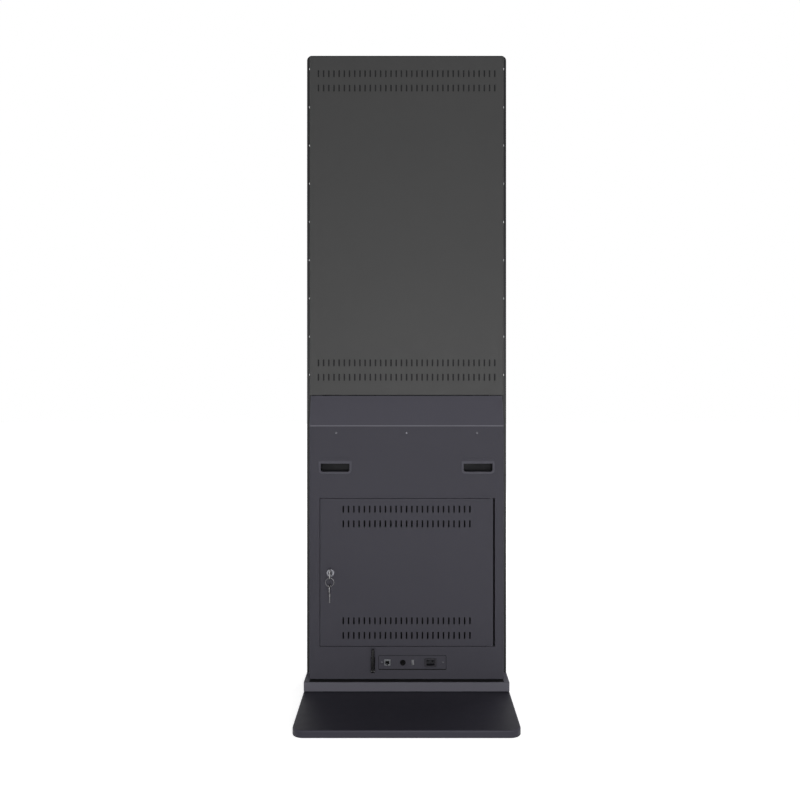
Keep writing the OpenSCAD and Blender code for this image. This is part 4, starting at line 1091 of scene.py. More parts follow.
    def turned(self, tree: Pattern) -> Socket:
        """Turn each screw to the direction that it faces, with its recess at a random angle.

        Args:
            tree: Pattern that the screws belong to.

        Returns:
            The rotation of each screw.
        """
        named = {"Name": "facing"}
        facing = tree.node("GeometryNodeInputNamedAttribute", named, data_type="FLOAT_VECTOR").outputs[0]
        upright = tree.node("FunctionNodeAlignRotationToVector", {"Vector": facing}, axis="Z").outputs[0]
        angle = tree.random(Chance.FLOAT, 0.0, math.pi, self.seed)
        twist = tree.node("FunctionNodeEulerToRotation", {0: tree.vector(0.0, 0.0, angle)}).outputs[0]
        both = {"Rotation": upright, "Rotate By": twist}
        return tree.node("FunctionNodeRotateRotation", both, rotation_space="LOCAL").outputs[0]

    def build(self) -> Mesh:
        """Build the screws as one mesh.

        Returns:
            The mesh of all the screws.
        """
        tree = Pattern(self.node + " pattern")
        head, rise = tree.take("Head Diameter", self.head), tree.take("Head Height", self.rise)
        shank, grip = tree.take("Shank Diameter", self.shank), tree.take("Grip", self.grip)
        cap = self.crossed(tree, self.crowned(tree, head, rise), head, rise)
        layout = {
            "Points": tree.entry.outputs["Geometry"],
            "Instance": tree.joined(cap, self.stem(tree, shank, grip)),
            "Rotation": self.turned(tree),
        }
        placed = tree.node("GeometryNodeInstanceOnPoints", layout).outputs[0]
        return tree.run(self.carrier(), placed, material_of(FINISHES[self.slot]))

    def dress(self, body: Body) -> None:
        """Put the screws on a body in place of their CAD node, with a painted highlight on those along the
        rim.

        Args:
            body: Body that the screws ride on.
        """
        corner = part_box("upper_rear_cover")[1]
        side, top = corner[0] - self.rim_side, corner[2] - self.rim_top
        mesh = two_tone(
            weighted(self.build(), self.head_sharp), FINISHES[self.slot], self.rim_highlight_finish,
            lambda at: abs(at.x) > side or at.z > top,
        )
        publish(self.node + "_dressed", mesh, body, self.slot, [self.node])


@dataclass
class BlockRow:
    """A straight row of equal small blocks, such as spring contacts."""

    name: str
    count: int
    start: Point
    pitch: Point
    size: Point

    def build(self, material: Material) -> Mesh:
        """Build the row as one mesh.

        Args:
            material: Material of the blocks.

        Returns:
            The mesh of the row.
        """
        tree = Pattern(self.name + " pattern")
        count, start = tree.take("Count", self.count), tree.take("Start", self.start)
        pitch, size = tree.take("Pitch", self.pitch), tree.take("Block Size", self.size)
        line = tree.node(
            "GeometryNodeMeshLine", {"Count": count, "Start Location": start, "Offset": pitch}
        ).outputs["Mesh"]
        brick = tree.node("GeometryNodeMeshCube", {"Size": size}).outputs["Mesh"]
        placed = tree.node("GeometryNodeInstanceOnPoints", {"Points": line, "Instance": brick}).outputs[0]
        return tree.run(bpy.data.meshes.new(self.name + "_carrier"), placed, material)


@dataclass
class PartsField:
    """Small components scattered over a circuit board, from a fixed seed."""

    name: str
    low: Point
    high: Point
    spacing: float
    least: Point
    most: Point
    seed: int
    crowd: float = 4.0e5

    def build(self, material: Material) -> Mesh:
        """Build the components, which stand out of the board towards +Y.

        Args:
            material: Material of the components.

        Returns:
            The mesh of all of them.
        """
        sheet = bpy.data.meshes.new(self.name + "_carrier")
        (x0, y0, z0), (x1, _, z1) = self.low, self.high
        sheet.from_pydata([(x0, y0, z0), (x1, y0, z0), (x1, y0, z1), (x0, y0, z1)], [], [(0, 1, 2, 3)])
        tree = Pattern(self.name + " pattern")
        spacing, seed = tree.take("Spacing", self.spacing), tree.take("Seed", self.seed)
        least, most = tree.take("Least Size", self.least), tree.take("Most Size", self.most)
        scatter = {
            "Mesh": tree.entry.outputs["Geometry"],
            "Distance Min": spacing,
            "Density Max": self.crowd,
            "Seed": seed,
        }
        spots = tree.node(
            "GeometryNodeDistributePointsOnFaces", scatter, distribute_method="POISSON"
        ).outputs["Points"]
        size = tree.random(Chance.FLOAT_VECTOR, least, most, seed)
        cube = tree.node("GeometryNodeMeshCube", {"Size": (1.0, 1.0, 1.0)}).outputs["Mesh"]
        layout = {"Points": spots, "Instance": tree.moved(cube, (0.0, 0.5, 0.0)), "Scale": size}
        placed = tree.node("GeometryNodeInstanceOnPoints", layout).outputs[0]
        return tree.run(sheet, placed, material)


def toned(mesh: Mesh, finishes: Sequence[Finish], tone: Callable[[Face], int]) -> Mesh:
    """Give each face one of several finishes.

    Args:
        mesh: Mesh to colour.
        finishes: The finishes to choose from.
        tone: Gives the place of a face's finish among them.

    Returns:
        The same mesh.
    """
    mesh.materials.clear()
    for finish in finishes:
        mesh.materials.append(material_of(finish))
    for face in mesh.polygons:
        face.material_index = tone(face)
    return mesh


def two_tone(mesh: Mesh, outer: Finish, inner: Finish, inside: Callable[[Vector], bool]) -> Mesh:
    """Give the faces whose middle lies inside, such as those of a cavity, a finish of their own."""
    return toned(mesh, (outer, inner), lambda face: int(inside(face.center)))


class Coat(IntEnum):
    """The places of a rear cover's finishes on its mesh."""

    PAINT = 0
    HIGHLIGHT = 1
    DARK = 2
    SILL_LIGHT = 3


def outline(centre: Pair, size: Pair, radius: float, steps: int = 6) -> list[Pair]:
    """Give the points of a rectangle with round corners, in X and Z.

    Args:
        centre: Its middle.
        size: Its width and height.
        radius: Radius of its corners.
        steps: Points to a corner.

    Returns:
        The points in order round it.
    """
    points = []
    for corner, (sx, sz) in enumerate(((1, 1), (-1, 1), (-1, -1), (1, -1))):
        for i in range(steps + 1):
            turn = math.pi / 2 * (corner + i / steps)
            x = centre[0] + sx * (size[0] / 2 - radius) + radius * math.cos(turn)
            z = centre[1] + sz * (size[1] / 2 - radius) + radius * math.sin(turn)
            points.append((x, z))
    return points


def ring_slab(outer: Sequence[Pair], inner: Sequence[Pair], low: float, high: float) -> Shape:
    """Make a flat ring between two outlines.

    Args:
        outer: Outer outline in X and Z.
        inner: Inner outline with as many points.
        low: Back of the ring in Y.
        high: Front of the ring in Y.

    Returns:
        The closed ring.
    """
    shape = bmesh.new()
    paths = ((outer, low), (outer, high), (inner, high), (inner, low))
    loops = [[shape.verts.new((x, y, z)) for x, z in path] for path, y in paths]
    count = len(outer)
    for first, second in zip(loops, loops[1:] + loops[:1]):
        for i in range(count):
            k = (i + 1) % count
            shape.faces.new((first[i], first[k], second[k], second[i]))
    bmesh.ops.recalc_face_normals(shape, faces=shape.faces)
    return shape


@dataclass
class FloorStand:
    """The heavy base, its collar and the two feet of the uprights."""

    edge: float = 0.0006
    fold: float = 0.0005
    # Painted highlight on the rolled edge and painted light on the vertical sides, with the facings that tell
    # them apart
    roll_highlight: float = 0.55
    side_painted_light: float = 0.36
    side_facing: float = 0.15
    top_facing: float = 0.97
    # Inset, reach, rise and edge of the black strip on the collar's top, a painted shade
    strip_inset: float = 0.016
    strip_reach: Pair = (0.030, 0.004)
    strip_rise: float = 0.0009
    strip_edge: float = 0.0003

    def cover(self) -> Mesh:
        """Make the base cover with a painted highlight along the rolled edge and painted light on the sides.

        Returns:
            The cover's mesh.
        """
        mesh = softened("base_cover", Rounding(self.edge))
        wear = mesh.attributes["edge_wear_and_painted_light"].data
        for face, mark in zip(mesh.polygons, wear):
            if self.side_facing < face.normal.z < self.top_facing:
                mark.value = self.roll_highlight
            elif abs(face.normal.z) <= self.side_facing:
                mark.value = max(mark.value, self.side_painted_light)
        return mesh

    def shade_strip(self) -> Mesh:
        """Lay the black foam strip on the collar's top under the housing, a painted shade where that top lies
        in shade.

        Returns:
            The strip's mesh.
        """
        corner = Vector(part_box("collar")[1])
        half = corner.x - self.strip_inset
        far, near = (corner.y - reach for reach in self.strip_reach)
        shape = bmesh.new()
        low, high = (-half, far, corner.z), (half, near, corner.z + self.strip_rise)
        block(shape, low, high, self.strip_edge)
        return as_mesh(shape, "collar_shade_strip_mesh")

    def dress(self) -> None:
        """Dress the base, the collar and what they hide."""
        publish("base_cover_dressed", self.cover(), Body.KIOSK, Slot.BASE, ["base_cover"])
        dress("base_bottom_plate", Body.KIOSK, Slot.BASE, self.fold)
        dress("collar", Body.KIOSK, Slot.COLLAR, self.fold)
        # The black strip on the collar's top is painted shade
        publish("collar_shade_strip", self.shade_strip(), Body.KIOSK, Slot.LEAD)
        paint(FINISHES[Slot.BALLAST], "base_ballast")
        paint(FINISHES[Slot.INNER], "upright_left", "upright_right", "crossbars")
        paint(FINISHES[Slot.ZINC], "foot_left", "foot_right", "base_screws", "foot_bolts")


@dataclass
class FrontFrame:
    """The portrait frame, its glass with a printed border and the panel below the screen."""

    edge: float = 0.0006
    active: Pair = (0.5292, 0.9408)
    panel_finish: DarkGlass = DarkGlass("dark display", srgb(34, 36, 42), roughness=0.08)
    mask_finish: SolderMask = SolderMask("black solder mask", srgb(15, 17, 16), specular=0.1)

    def glass(self) -> Mesh:
        """Make the glass with a black printed border round the dark display.

        Returns:
            The glass in its two finishes.
        """
        centre, half = middle("front_glass"), [side / 2 for side in self.active]
        cuts = [(centre + Vector((sign * half[0], 0.0, 0.0)), Axis.X) for sign in (-1, 1)]
        cuts += [(centre + Vector((0.0, 0.0, sign * half[1])), Axis.Z) for sign in (-1, 1)]
        mesh = softened("front_glass", Rounding(self.edge), cuts=cuts)
        return two_tone(
            mesh, FINISHES[Slot.GLASS], self.panel_finish,
            lambda at: abs(at.x - centre.x) < half[0] and abs(at.z - centre.z) < half[1],
        )

    def dress(self) -> None:
        """Dress the frame bars, the glass and the layers behind it."""
        for bar in ("frame_left", "frame_right", "frame_top", "frame_bottom"):
            dress(bar, Body.KIOSK, Slot.FRAME, self.edge)
        dress("lower_front_panel", Body.KIOSK, Slot.FRAME, self.edge)
        publish("front_glass_dressed", self.glass(), Body.KIOSK, Slot.GLASS, ["front_glass"])
        paint(FINISHES[Slot.STACK], "touch_sensor", "lcd_cell")
        paint(FINISHES[Slot.DIFFUSER], "backlight")
        paint(FINISHES[Slot.INNER], "lcd_tray")
        paint(self.mask_finish, "driver_board", "touch_controller")


@dataclass
class RearCovers:
    """The upper cover, the lower housing, the rails that they screw to and the handles."""

    edge: float = 0.0004
    slope_height: float = 0.087
    # Bevel of the bend below the slope and its lighter finish, a painted highlight
    bend_width: float = 0.0016
    bend_segments: int = 3
    bend_angle: float = 12.0
    bend_highlight: float = 1.0
    bend_highlight_finish: PowderCoat = PowderCoat("painted bend highlight", srgb(88, 87, 94), roughness=0.45, specular=0.2)
    # Lightening of the upward-facing slope, a painted light, and the facings that find it
    slope_painted_light: float = 0.5
    slope_facing: float = 0.8
    slope_tilt: Pair = (0.3, 0.6)
    # Reach and facing of the edge faces of the door's opening that are painted black as shade in the seam
    seam_reach: float = 0.0026
    seam_facing: float = 0.9
    # Brightness of the painted highlight on the handle's rim
    rim_highlight: float = 0.8
    near: float = 0.0002
    rim_depth: float = 0.0017
    lip_height: float = 0.009
    # Lighter finish of the rim below the lip: a painted highlight
    rim_highlight_finish: PowderCoat = PowderCoat("painted highlight handle rim", srgb(78, 77, 85), roughness=0.5, specular=0.08)
    # Upward faces in the cup take a lighter finish: painted light on the sill
    sill_facing: float = 0.7
    sill_light_finish: Moulding = Moulding("painted light handle sill", srgb(66, 66, 71), roughness=0.6, specular=0.1)
    # Foam sheets behind the vents, a real filter whose grey stands in for the shade seen through the vents:
    # painted shade
    filter_inset: float = 0.019
    filter_depth: Pair = (0.0035, 0.0016)
    filter_rise: Pair = (0.0366, 0.1126)
    filter_drop: Pair = (0.110, 0.033)
    filter_edge: float = 0.0004
    shade_filter_finish: Moulding = Moulding(
        "shade filter foam", srgb(46, 46, 47), roughness=0.8, specular=0.1, grain=600.0, grain_depth=0.0008
    )

    def housing(self) -> Mesh:
        """Make the lower housing, with painted light on the slope, a painted highlight on the bend and
        painted shade on the black edges round the door.

        Returns:
            The housing in its three finishes.
        """
        _, rear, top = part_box("lower_rear_housing")[1]
        fold = top - self.slope_height

        def on_fold(at: Vector, reach: float) -> bool:
            """Tell whether a point lies on the bend below the slope."""
            return abs(at.z - fold) < reach and abs(at.y - rear) < reach

        def on_bend(edge: bmesh.types.BMEdge) -> bool:
            """Tell whether an edge lies on the outside of the bend."""
            return all(on_fold(corner.co, self.near) for corner in edge.verts)

        # The outside of the bend is marked for a painted highlight
        bend = Rounding(self.bend_width, self.bend_segments, self.bend_angle, self.bend_highlight, on_bend)
        mesh = softened("lower_rear_housing", bend, Rounding(self.edge))
        least, most = self.slope_tilt
        # Lighten the slope that faces up: painted light
        for face, mark in zip(mesh.polygons, mesh.attributes["edge_wear_and_painted_light"].data):
            if face.normal.y > self.slope_facing and least < face.normal.z < most:
                mark.value = max(mark.value, self.slope_painted_light)
        low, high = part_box("service_door")

        def coat(face: Face) -> Coat:
            """Tell the bend's painted highlight and the black edges of the door's opening, a painted shade,
            from the plain paint.

            Args:
                face: Face of the housing.

            Returns:
                The place of its finish.
            """
            at = face.center
            # Edges of the door's opening are painted black: painted shade in the seam
            level = min(abs(at.z - low[2]), abs(at.z - high[2])) < self.seam_reach
            if level and low[0] < at.x < high[0] and face.normal.y < self.seam_facing:
                return Coat.DARK
            # Faces on the bend take the painted highlight finish
            return Coat.HIGHLIGHT if on_fold(at, self.bend_width) else Coat.PAINT

        return toned(mesh, (FINISHES[Slot.LOWER], self.bend_highlight_finish, FINISHES[Slot.INNER]), coat)

    def handle(self, node: str) -> Mesh:
        """Make a handle with a dark cup, painted light on the sill in it and a painted highlight on the rim
        round its mouth.

        Args:
            node: CAD node of the handle.

        Returns:
            The handle in its four finishes.
        """
        corner = Vector(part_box(node)[1])
        lip, back = corner.z - self.lip_height, corner.y - self.rim_depth
        level = Vector((0.0, 0.0, lip))
        mesh = softened(node, Rounding(self.edge, wear=self.rim_highlight), cuts=[(level, Axis.Z)])

        def coat(face: Face) -> Coat:
            """Tell the cup, its sill and the rim from the paint above them.

            Args:
                face: Face of the handle.

            Returns:
                The place of its finish.
            """
            if face.center.y < back:
                # Upward faces in the cup are painted lighter: painted light
                return Coat.SILL_LIGHT if face.normal.z > self.sill_facing else Coat.DARK
            # The rim below the lip takes the painted highlight
            return Coat.HIGHLIGHT if face.center.z < lip else Coat.PAINT

        finishes = (FINISHES[Slot.LOWER], self.rim_highlight_finish, FINISHES[Slot.HANDLE], self.sill_light_finish)
        return toned(mesh, finishes, coat)

    def shade_filters(self) -> Mesh:
        """Make the foam sheets behind the upper cover's vents, which keep dust out and whose grey stands in
        for the shade seen through the vents: partly a real filter, partly painted shade.

        Returns:
            Both sheets as one mesh.
        """
        low, high = (Vector(corner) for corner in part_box("upper_rear_cover"))
        half = high.x - self.filter_inset
        far, near = (high.y - depth for depth in self.filter_depth)
        lower = [low.z + rise for rise in self.filter_rise]
        upper = [high.z - drop for drop in self.filter_drop]
        shape = bmesh.new()
        for foot, head in (lower, upper):
            block(shape, (-half, far, foot), (half, near, head), self.filter_edge)
        return as_mesh(shape, "shade_filter_sheets")

    def dress(self) -> None:
        """Dress the covers, the rails and the carrying handles."""
        dress("upper_rear_cover", Body.KIOSK, Slot.UPPER, self.edge)
        publish("lower_rear_housing_dressed", self.housing(), Body.KIOSK, Slot.LOWER, ["lower_rear_housing"])
        # The foam's grey is painted shade for the vents
        foam = material_of(self.shade_filter_finish)
        publish("vent_shade_filters", self.shade_filters(), Body.KIOSK, Slot.LEAD, material=foam)
        paint(FINISHES[Slot.INNER], "rail_upper_left", "rail_upper_right", "rail_upper_top")
        paint(FINISHES[Slot.INNER], "rail_lower_left", "rail_lower_right")
        for node in ("handle_left", "handle_right"):
            publish(node + "_dressed", self.handle(node), Body.KIOSK, Slot.HANDLE, [node])


@dataclass
class ServiceDoor:
    """The vented door with its pivots."""

    edge: float = 0.0004

    def dress(self) -> None:
        """Dress the door and its hinges."""
        dress("service_door", Body.DOOR, Slot.LOWER, self.edge)
        paint(FINISHES[Slot.ZINC], "hinge_brackets")
        dress("hinge_pins", Body.KIOSK, Slot.ZINC, self.edge)


@dataclass
class LockSet:
    """The cam lock with its two keys on a ring."""

    edge: float = 0.0003
    key_edge: float = 0.00025
    turns: float = 2.0
    turn_steps: int = 72
    wire_share: float = 0.62
    wire_sides: int = 12
    spread_share: float = 0.12
    height_share: float = 0.36
    # Darker copy of the lock's metal for the recessed plug: painted shade
    plug_shade_finish: PlatedMetal = PlatedMetal("shaded lock plug", srgb(62, 62, 66), roughness=0.35)

    def dress(self) -> None:
        """Dress the lock, its keys and their ring."""
        dress("lock_barrel", Body.DOOR, Slot.LOCK, self.edge)
        dress("lock_nut", Body.DOOR, Slot.LOCK, self.edge)
        # The recessed plug takes the darker copy: painted shade
        plug = softened("lock_plug", Rounding(self.edge))
        publish("lock_plug_dressed", plug, Body.PLUG, Slot.LOCK, ["lock_plug"], material_of(self.plug_shade_finish))
        dress("lock_cam", Body.PLUG, Slot.LOCK, self.edge)
        dress("cam_screw", Body.PLUG, Slot.SCREW, self.edge)
        dress("door_key", Body.KEY, Slot.KEY, self.key_edge)
        dress("spare_key", Body.SPARE, Slot.KEY, self.key_edge)
        publish("key_ring_dressed", weighted(self.ring()), Body.RING, Slot.KEY, ["key_ring"])

    def ring(self) -> Mesh:
        """Wind the split ring inside the room of its CAD torus.

        Returns:
            The ring's mesh.
        """
        low, high = (Vector(corner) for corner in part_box("key_ring"))
        centre, thick = (low + high) / 2, high.y - low.y
        tree = Pattern("split ring pattern")
        wire = tree.take("Wire Diameter", thick * self.wire_share)
        radius = tree.take("Radius", (high.x - low.x - thick) / 2 + thick * self.spread_share)
        winding = {
            "Resolution": self.turn_steps,
            "Rotations": tree.take("Turns", self.turns),
            "Start Radius": radius,
            "End Radius": radius,
            "Height": tree.take("Height", thick * self.height_share),
        }
        spiral = tree.node("GeometryNodeCurveSpiral", winding).outputs["Curve"]
        circle = {"Resolution": self.wire_sides}
        section = tree.node("GeometryNodeCurvePrimitiveCircle", circle).outputs["Curve"]
        scale = tree.vector(*[tree.math("MULTIPLY", wire, 0.5)] * 3)
        sized = tree.node("GeometryNodeTransform", {"Geometry": section, "Scale": scale}).outputs["Geometry"]
        sweep = {"Curve": spiral, "Profile Curve": sized, "Fill Caps": True}
        tube = tree.node("GeometryNodeCurveToMesh", sweep).outputs["Mesh"]
        lying = tree.moved(tube, (0.0, 0.0, -thick * self.height_share / 2))
        stood = tree.moved(lying, tuple(centre), (math.pi / 2, 0.0, 0.0))
        carrier = bpy.data.meshes.new("split_ring_carrier")
        return tree.run(carrier, stood, material_of(FINISHES[Slot.KEY]))


@dataclass
class ConnectorPlate:
    """The recessed plate with its sockets and the power button."""

    edge: float = 0.0003
    contacts: int = 8
    contact_pitch: float = 0.00102
    contact_size: Point = (0.0004, 0.007, 0.0003)
    contact_back: float = 0.003
    contact_rise: float = 0.0036
    mouth: Pair = (0.0062, 0.0066)
    shell: float = 0.0011
    plate_lap: float = 0.007
    corner: float = 0.003
    seal_width: float = 0.0012
    seal_rise: float = 0.0009
    # Extra width of the gasket's bottom run, a painted shadow line under the plate
    sill: float = 0.0014
    dish: float = 0.0007
    cap_rim: tuple[Pair, ...] = ((0.0, 1.0), (0.3, 0.3), (1.0, 0.0), (2.0, 0.0), (3.0, 0.6))
    cap_floor: float = 0.4
    cap_middle: float = 1.1
    button_sides: int = 56
    contact_finish: PlatedMetal = PlatedMetal("gilt contact", srgb(190, 160, 92), roughness=0.25)
    tongue_finish: Moulding = Moulding("pale socket tongue", srgb(150, 150, 154), roughness=0.5)
    flange_finish: Moulding = Moulding("inlet flange", srgb(46, 45, 50), roughness=0.5, specular=0.15)
    mouth_finish: Moulding = Moulding("inlet mouth", srgb(44, 44, 48), roughness=0.5, specular=0.15)

    def dress(self) -> None:
        """Dress the plate and everything on it."""
        dress("io_plate", Body.KIOSK, Slot.LOWER, self.edge)
        publish("lan_jack_dressed", self.jack(), Body.KIOSK, Slot.JACK, ["lan_jack"])
        publish("lan_contacts", self.contact_row(), Body.KIOSK, Slot.JACK)
        publish("usb_port_dressed", self.usb(), Body.KIOSK, Slot.JACK, ["usb_port"])
        publish("power_inlet_dressed", self.inlet(), Body.KIOSK, Slot.SOCKET, ["power_inlet"])
        dress("button_housing", Body.KIOSK, Slot.SOCKET, self.edge)
        publish("power_button_dressed", self.button(), Body.BUTTON, Slot.SOCKET, ["power_button"])
        publish("plate_shade_seal", self.plate_shade_seal(), Body.KIOSK, Slot.LEAD)

    def jack(self) -> Mesh:
        """Make the network jack with a black socket in its metal shell.

        Returns:
            The jack in its two finishes.
        """
        centre, front = middle("lan_jack"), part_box("lan_jack")[1][1]
        wide, tall = self.mouth
        mesh = softened("lan_jack", Rounding(self.edge))

        def inside(at: Vector) -> bool:
            """Tell whether a point lies in the socket's mouth."""
            within = abs(at.x - centre.x) < wide and abs(at.z - centre.z) < tall
            return within and at.y < front - self.edge

        return two_tone(mesh, FINISHES[Slot.JACK], FINISHES[Slot.SOCKET], inside)

    def contact_row(self) -> Mesh:
        """Set the spring contacts into the top of the network jack.

        Returns:
            The row of contacts as one mesh.
        """
        centre, front = middle("lan_jack"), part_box("lan_jack")[1][1]
        start = (
            centre.x - (self.contacts - 1) / 2 * self.contact_pitch,
            front - self.contact_back - self.contact_size[1] / 2,
            centre.z + self.contact_rise,
        )
        pitch = (self.contact_pitch, 0.0, 0.0)
        row = BlockRow("lan_contact_row", self.contacts, start, pitch, self.contact_size)
        return row.build(material_of(self.contact_finish))

    def usb(self) -> Mesh:
        """Make the USB socket with a pale tongue in its metal shell.

        Returns:
            The socket in its two finishes.
        """
        low, high = (Vector(corner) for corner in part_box("usb_port"))
        mesh = softened("usb_port", Rounding(self.edge / 2))

        def inside(at: Vector) -> bool:
            """Tell whether a point lies within the shell's walls.

            Args:
                at: Middle of a face.

            Returns:
                True where it lies inside.
            """
            across = low.x + self.shell < at.x < high.x - self.shell
            upwards = low.z + self.shell < at.z < high.z - self.shell
            return across and upwards and at.y > low.y + self.shell

        return two_tone(mesh, FINISHES[Slot.JACK], self.tongue_finish, inside)

    def inlet(self) -> Mesh:
        """Make the mains inlet with a flange round its dark mouth.

        Returns:
            The inlet in its two finishes.
        """
        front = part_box("power_inlet")[1][1]
        mesh = softened("power_inlet", Rounding(self.edge))
        ahead = front - self.edge
        return two_tone(mesh, self.mouth_finish, self.flange_finish, lambda at: at.y > ahead)

    def button(self) -> Mesh:
        """Turn the button with a dished cap.

        Returns:
            The button's mesh.
        """
        low, high = (Vector(corner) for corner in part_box("power_button"))
        radius, length = (high.x - low.x) / 2, high.y - low.y
        origin = (middle("power_button").x, low.y, middle("power_button").z)
        rim = [(radius - self.dish * inward, length - self.dish * down) for inward, down in self.cap_rim]
        floor = [(radius * self.cap_floor, length - self.dish), (0.0, length - self.dish * self.cap_middle)]
        profile = [(0.0, 0.0), (radius, 0.0)] + rim + floor
        return as_mesh(lathed(profile, origin, Axis.Y, self.button_sides), "button_turned")

    def plate_shade_seal(self) -> Mesh:
        """Make the rubber gasket between the plate and the edge of its opening, with a wider bottom run that
        is a painted shadow line under the plate.

        Returns:
            The seal's mesh.
        """
        low, high = (Vector(corner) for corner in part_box("io_plate"))
        centre, size = (low + high) / 2, high - low
        wide, tall = size.x - 2 * self.plate_lap, size.z - 2 * self.plate_lap
        outer = outline((centre.x, centre.z), (wide, tall), self.corner)
        # The inner outline sits higher, so the bottom run is wider: a painted shadow line
        raised = (centre.x, centre.z + self.sill / 2)
        clear = (wide - 2 * self.seal_width, tall - 2 * self.seal_width - self.sill)
        inner = outline(raised, clear, self.corner - self.seal_width)
        return as_mesh(ring_slab(outer, inner, high.y, high.y + self.seal_rise), "plate_shade_seal_ring")


@dataclass
class Antenna:
    """The hinged rod antenna and its threaded socket."""

    edge: float = 0.0003

    def dress(self) -> None:
        """Dress the socket, the knuckle and the whip."""
        dress("antenna_socket", Body.KIOSK, Slot.ANTENNA_METAL, self.edge)
        knuckle = softened("antenna_knuckle", Rounding(self.edge, clamp=True))
        publish("antenna_knuckle_dressed", knuckle, Body.KNUCKLE, Slot.ANTENNA, ["antenna_knuckle"])
        dress("antenna_whip", Body.WHIP, Slot.ANTENNA, self.edge)


@dataclass(frozen=True)
class BoardStrip:
    """A strip of the main board, by its distance from a corner, and the components on it."""

    low: Pair
    high: Pair
    spacing: float
    most: Point
    seed: int
    least_share: float = 0.35

    def field(self, name: str, corner: Vector) -> PartsField:
        """Describe the strip's components.

        Args:
            name: Name of the piece.
            corner: Corner of the board's face with the least X and Z.

        Returns:
            The field of components.
        """
        low, high = (tuple(corner + Vector((x, 0.0, z))) for x, z in (self.low, self.high))
        least = tuple(side * self.least_share for side in self.most)
        return PartsField(name, low, high, self.spacing, least, self.most, self.seed)


@dataclass
class Equipment:
    """The plate behind the door with the supply, the main board and their cables."""

    edge: float = 0.0003
    board_lift: float = 0.0076
    chips: BoardStrip = BoardStrip(
        low=(0.106, 0.030), high=(0.165, 0.147), spacing=0.012, most=(0.010, 0.0022, 0.008), seed=11
    )
    cans: BoardStrip = BoardStrip(
        low=(0.004, 0.030), high=(0.024, 0.163), spacing=0.009, most=(0.006, 0.007, 0.006), seed=5
    )
    chip_finish: Moulding = Moulding("chip resin", srgb(24, 24, 26), roughness=0.4)

    def dress(self) -> None:
        """Dress the equipment that shows when the door stands open."""
        dress("equipment_plate", Body.KIOSK, Slot.INNER, self.edge)
        dress("power_supply", Body.KIOSK, Slot.ZINC, self.edge)
        dress("main_board", Body.KIOSK, Slot.BOARD, self.edge)
        corner = Vector(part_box("main_board")[0]) + Vector((0.0, self.board_lift, 0.0))
        chips = self.chips.field("board_chips", corner)
        cans = self.cans.field("board_cans", corner)
        publish("board_chips", chips.build(material_of(self.chip_finish)), Body.KIOSK, Slot.BOARD)
        publish("board_cans", cans.build(material_of(FINISHES[Slot.JACK])), Body.KIOSK, Slot.JACK)
        paint(FINISHES[Slot.LEAD], "power_lead", "display_cable")


@dataclass(frozen=True)
class LightPanel:
    """One square light, with its power as a share of the key light's."""

    name: str
    place: Point
    target: Point
    size: float
    share: float = 1.0
    mirrored: bool = False

    def hang(self, power: float) -> None:
        """Hang the light, facing its target.

        Args:
            power: Power of the key light in watts.
        """
        light = bpy.data.lights.new(self.name, "AREA")
        light.shape, light.size, light.energy = "SQUARE", self.size, power * self.share
        stand = bpy.data.objects.new(self.name, light)
        stand.visible_glossy = self.mirrored
        stand.location = self.place
        aim = Vector(self.target) - Vector(self.place)
        stand.rotation_euler = aim.to_track_quat("-Z", "Y").to_euler()
        bpy.context.scene.collection.objects.link(stand)


PANELS = (
    LightPanel("key", place=(-0.2, 2.9, 0.42), target=(0.0, 0.0, 0.75), size=1.5, mirrored=True),
    LightPanel("fill", place=(-2.2, -2.8, 1.6), target=(0.0, -0.1, 1.0), size=2.2),
    LightPanel("left", place=(2.6, 0.6, 1.2), target=(0.0, -0.1, 0.95), size=1.5, share=0.22),
    LightPanel("right", place=(-2.6, 0.6, 1.2), target=(0.0, -0.1, 0.95), size=1.5, share=0.22),
    LightPanel("top", place=(-0.5, 1.2, 3.4), target=(0.0, -0.1, 0.9), size=1.4, share=0.08, mirrored=True),
)


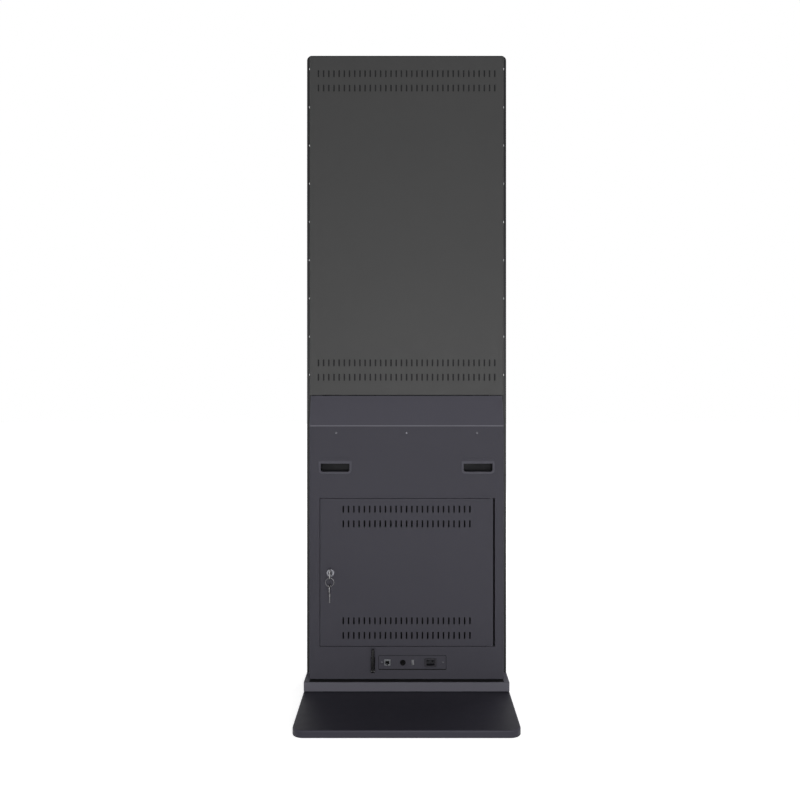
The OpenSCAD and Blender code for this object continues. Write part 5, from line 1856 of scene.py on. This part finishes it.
@dataclass
class Studio:
    """Floor, light and camera."""

    camera_at: Point = (0.0, 2.267, 0.950)
    lens: float = 35.20
    sensor: float = 36.0
    shift: Pair = (-0.00825, -0.035)
    floor_half: float = 12.0
    floor_tones: Pair = (0.8, 0.83)
    floor_scale: float = 2.0
    floor_roughness: float = 0.9
    floor_specular: float = 0.1
    floor_fade: Pair = (0.6, 2.2)
    floor_glow: float = 0.78
    ambient: float = 0.09
    key_power: float = 61.0

    def build(self) -> None:
        """Set the stage round the object, lit most from behind the camera and from the front."""
        self.build_camera()
        self.build_world()
        self.build_floor()
        for panel in PANELS:
            panel.hang(self.key_power)

    def build_camera(self) -> None:
        """Stand the camera at the photograph's viewing angle."""
        camera = bpy.data.cameras.new("camera")
        camera.lens, camera.sensor_width = self.lens, self.sensor
        camera.shift_x, camera.shift_y = self.shift
        stand = bpy.data.objects.new("camera", camera)
        stand.location, stand.rotation_euler = self.camera_at, (math.pi / 2, 0.0, math.pi)
        bpy.context.scene.collection.objects.link(stand)
        bpy.context.scene.camera = stand

    def seen(self, graph: Graph) -> Socket:
        """Tell rays from the camera, mirrors and glass from those that light the scene.

        Args:
            graph: Tree of the world or of a material.

        Returns:
            1 for a ray that shows the surface and 0 for one that lights.
        """
        path = graph.node("ShaderNodeLightPath").outputs
        direct = graph.math("MAXIMUM", path["Is Camera Ray"], path["Is Glossy Ray"])
        return graph.math("MAXIMUM", direct, path["Is Transmission Ray"])

    def build_world(self) -> None:
        """Give a white surround that lights the object softly."""
        world = bpy.data.worlds.new("surround")
        world.use_nodes = True
        graph = Graph(world.node_tree)
        light = world.node_tree.nodes["Background"]
        levels = {"Value": self.seen(graph), "To Min": self.ambient, "To Max": 1.0}
        strength = graph.node("ShaderNodeMapRange", levels).outputs["Result"]
        light.inputs["Color"].default_value = grey(1.0)
        graph.tree.links.new(strength, light.inputs["Strength"])
        bpy.context.scene.world = world

    def build_floor(self) -> None:
        """Lay a plain pale floor that keeps the shadow and fades into the surround."""
        half = self.floor_half
        mesh = bpy.data.meshes.new("floor")
        corners = [(-half, -half, 0), (half, -half, 0), (half, half, 0), (-half, half, 0)]
        mesh.from_pydata(corners, [], [(0, 1, 2, 3)])
        mesh.materials.append(self.floor_material())
        floor = bpy.data.objects.new("floor", mesh)
        bpy.context.scene.collection.objects.link(floor)

    def floor_material(self) -> Material:
        """Build the floor's finish, which glows more the further it lies from the object.

        Returns:
            The floor's material.
        """
        skin = Skin("floor")
        cloud = skin.spread(skin.noise(skin.coords, self.floor_scale), 0.0, 1.0)
        skin.feed(
            Base_Color=skin.mix(cloud, *(grey(tone) for tone in self.floor_tones)),
            Roughness=self.floor_roughness,
            Specular_IOR_Level=self.floor_specular,
        )
        near, far = self.floor_fade
        fade = {
            "Value": skin.node("ShaderNodeVectorMath", {0: skin.coords}, operation="LENGTH").outputs["Value"],
            "From Min": near,
            "From Max": far,
            "To Min": self.floor_glow,
            "To Max": 1.0,
        }
        glow = skin.node("ShaderNodeMapRange", fade, interpolation_type="SMOOTHSTEP").outputs["Result"]
        strength = skin.math("MULTIPLY", glow, self.seen(skin))
        shine = skin.node("ShaderNodeEmission", {"Strength": strength}).outputs[0]
        both = skin.node("ShaderNodeAddShader", {0: skin.surface.outputs[0], 1: shine}).outputs[0]
        skin.tree.links.new(both, skin.tree.nodes["Material Output"].inputs["Surface"])
        return skin.material


def screws() -> Iterable[ScrewSet]:
    """Give the sets of screws that show.

    Returns:
        The sets, one after the other.
    """
    for node in ("cover_screws", "housing_screws"):
        yield ScrewSet(node, head=0.007, rise=0.0022, shank=0.004, grip=0.006)
    yield ScrewSet("io_screws", head=0.006, rise=0.0021, shank=0.003, grip=0.006)


def main() -> None:
    """Build the stage and dress every sub-assembly in order."""
    logging.basicConfig(level=logging.INFO, format="%(name)s %(message)s")
    bpy.context.scene.view_settings.view_transform = "Standard"
    Studio().build()
    housings = (FloorStand(), FrontFrame(), RearCovers(), ServiceDoor())
    fittings = (LockSet(), ConnectorPlate(), Antenna(), Equipment())
    for part in housings + fittings:
        part.dress()
    for screw in screws():
        screw.dress(Body.KIOSK)


if __name__ == "__main__":
    main()
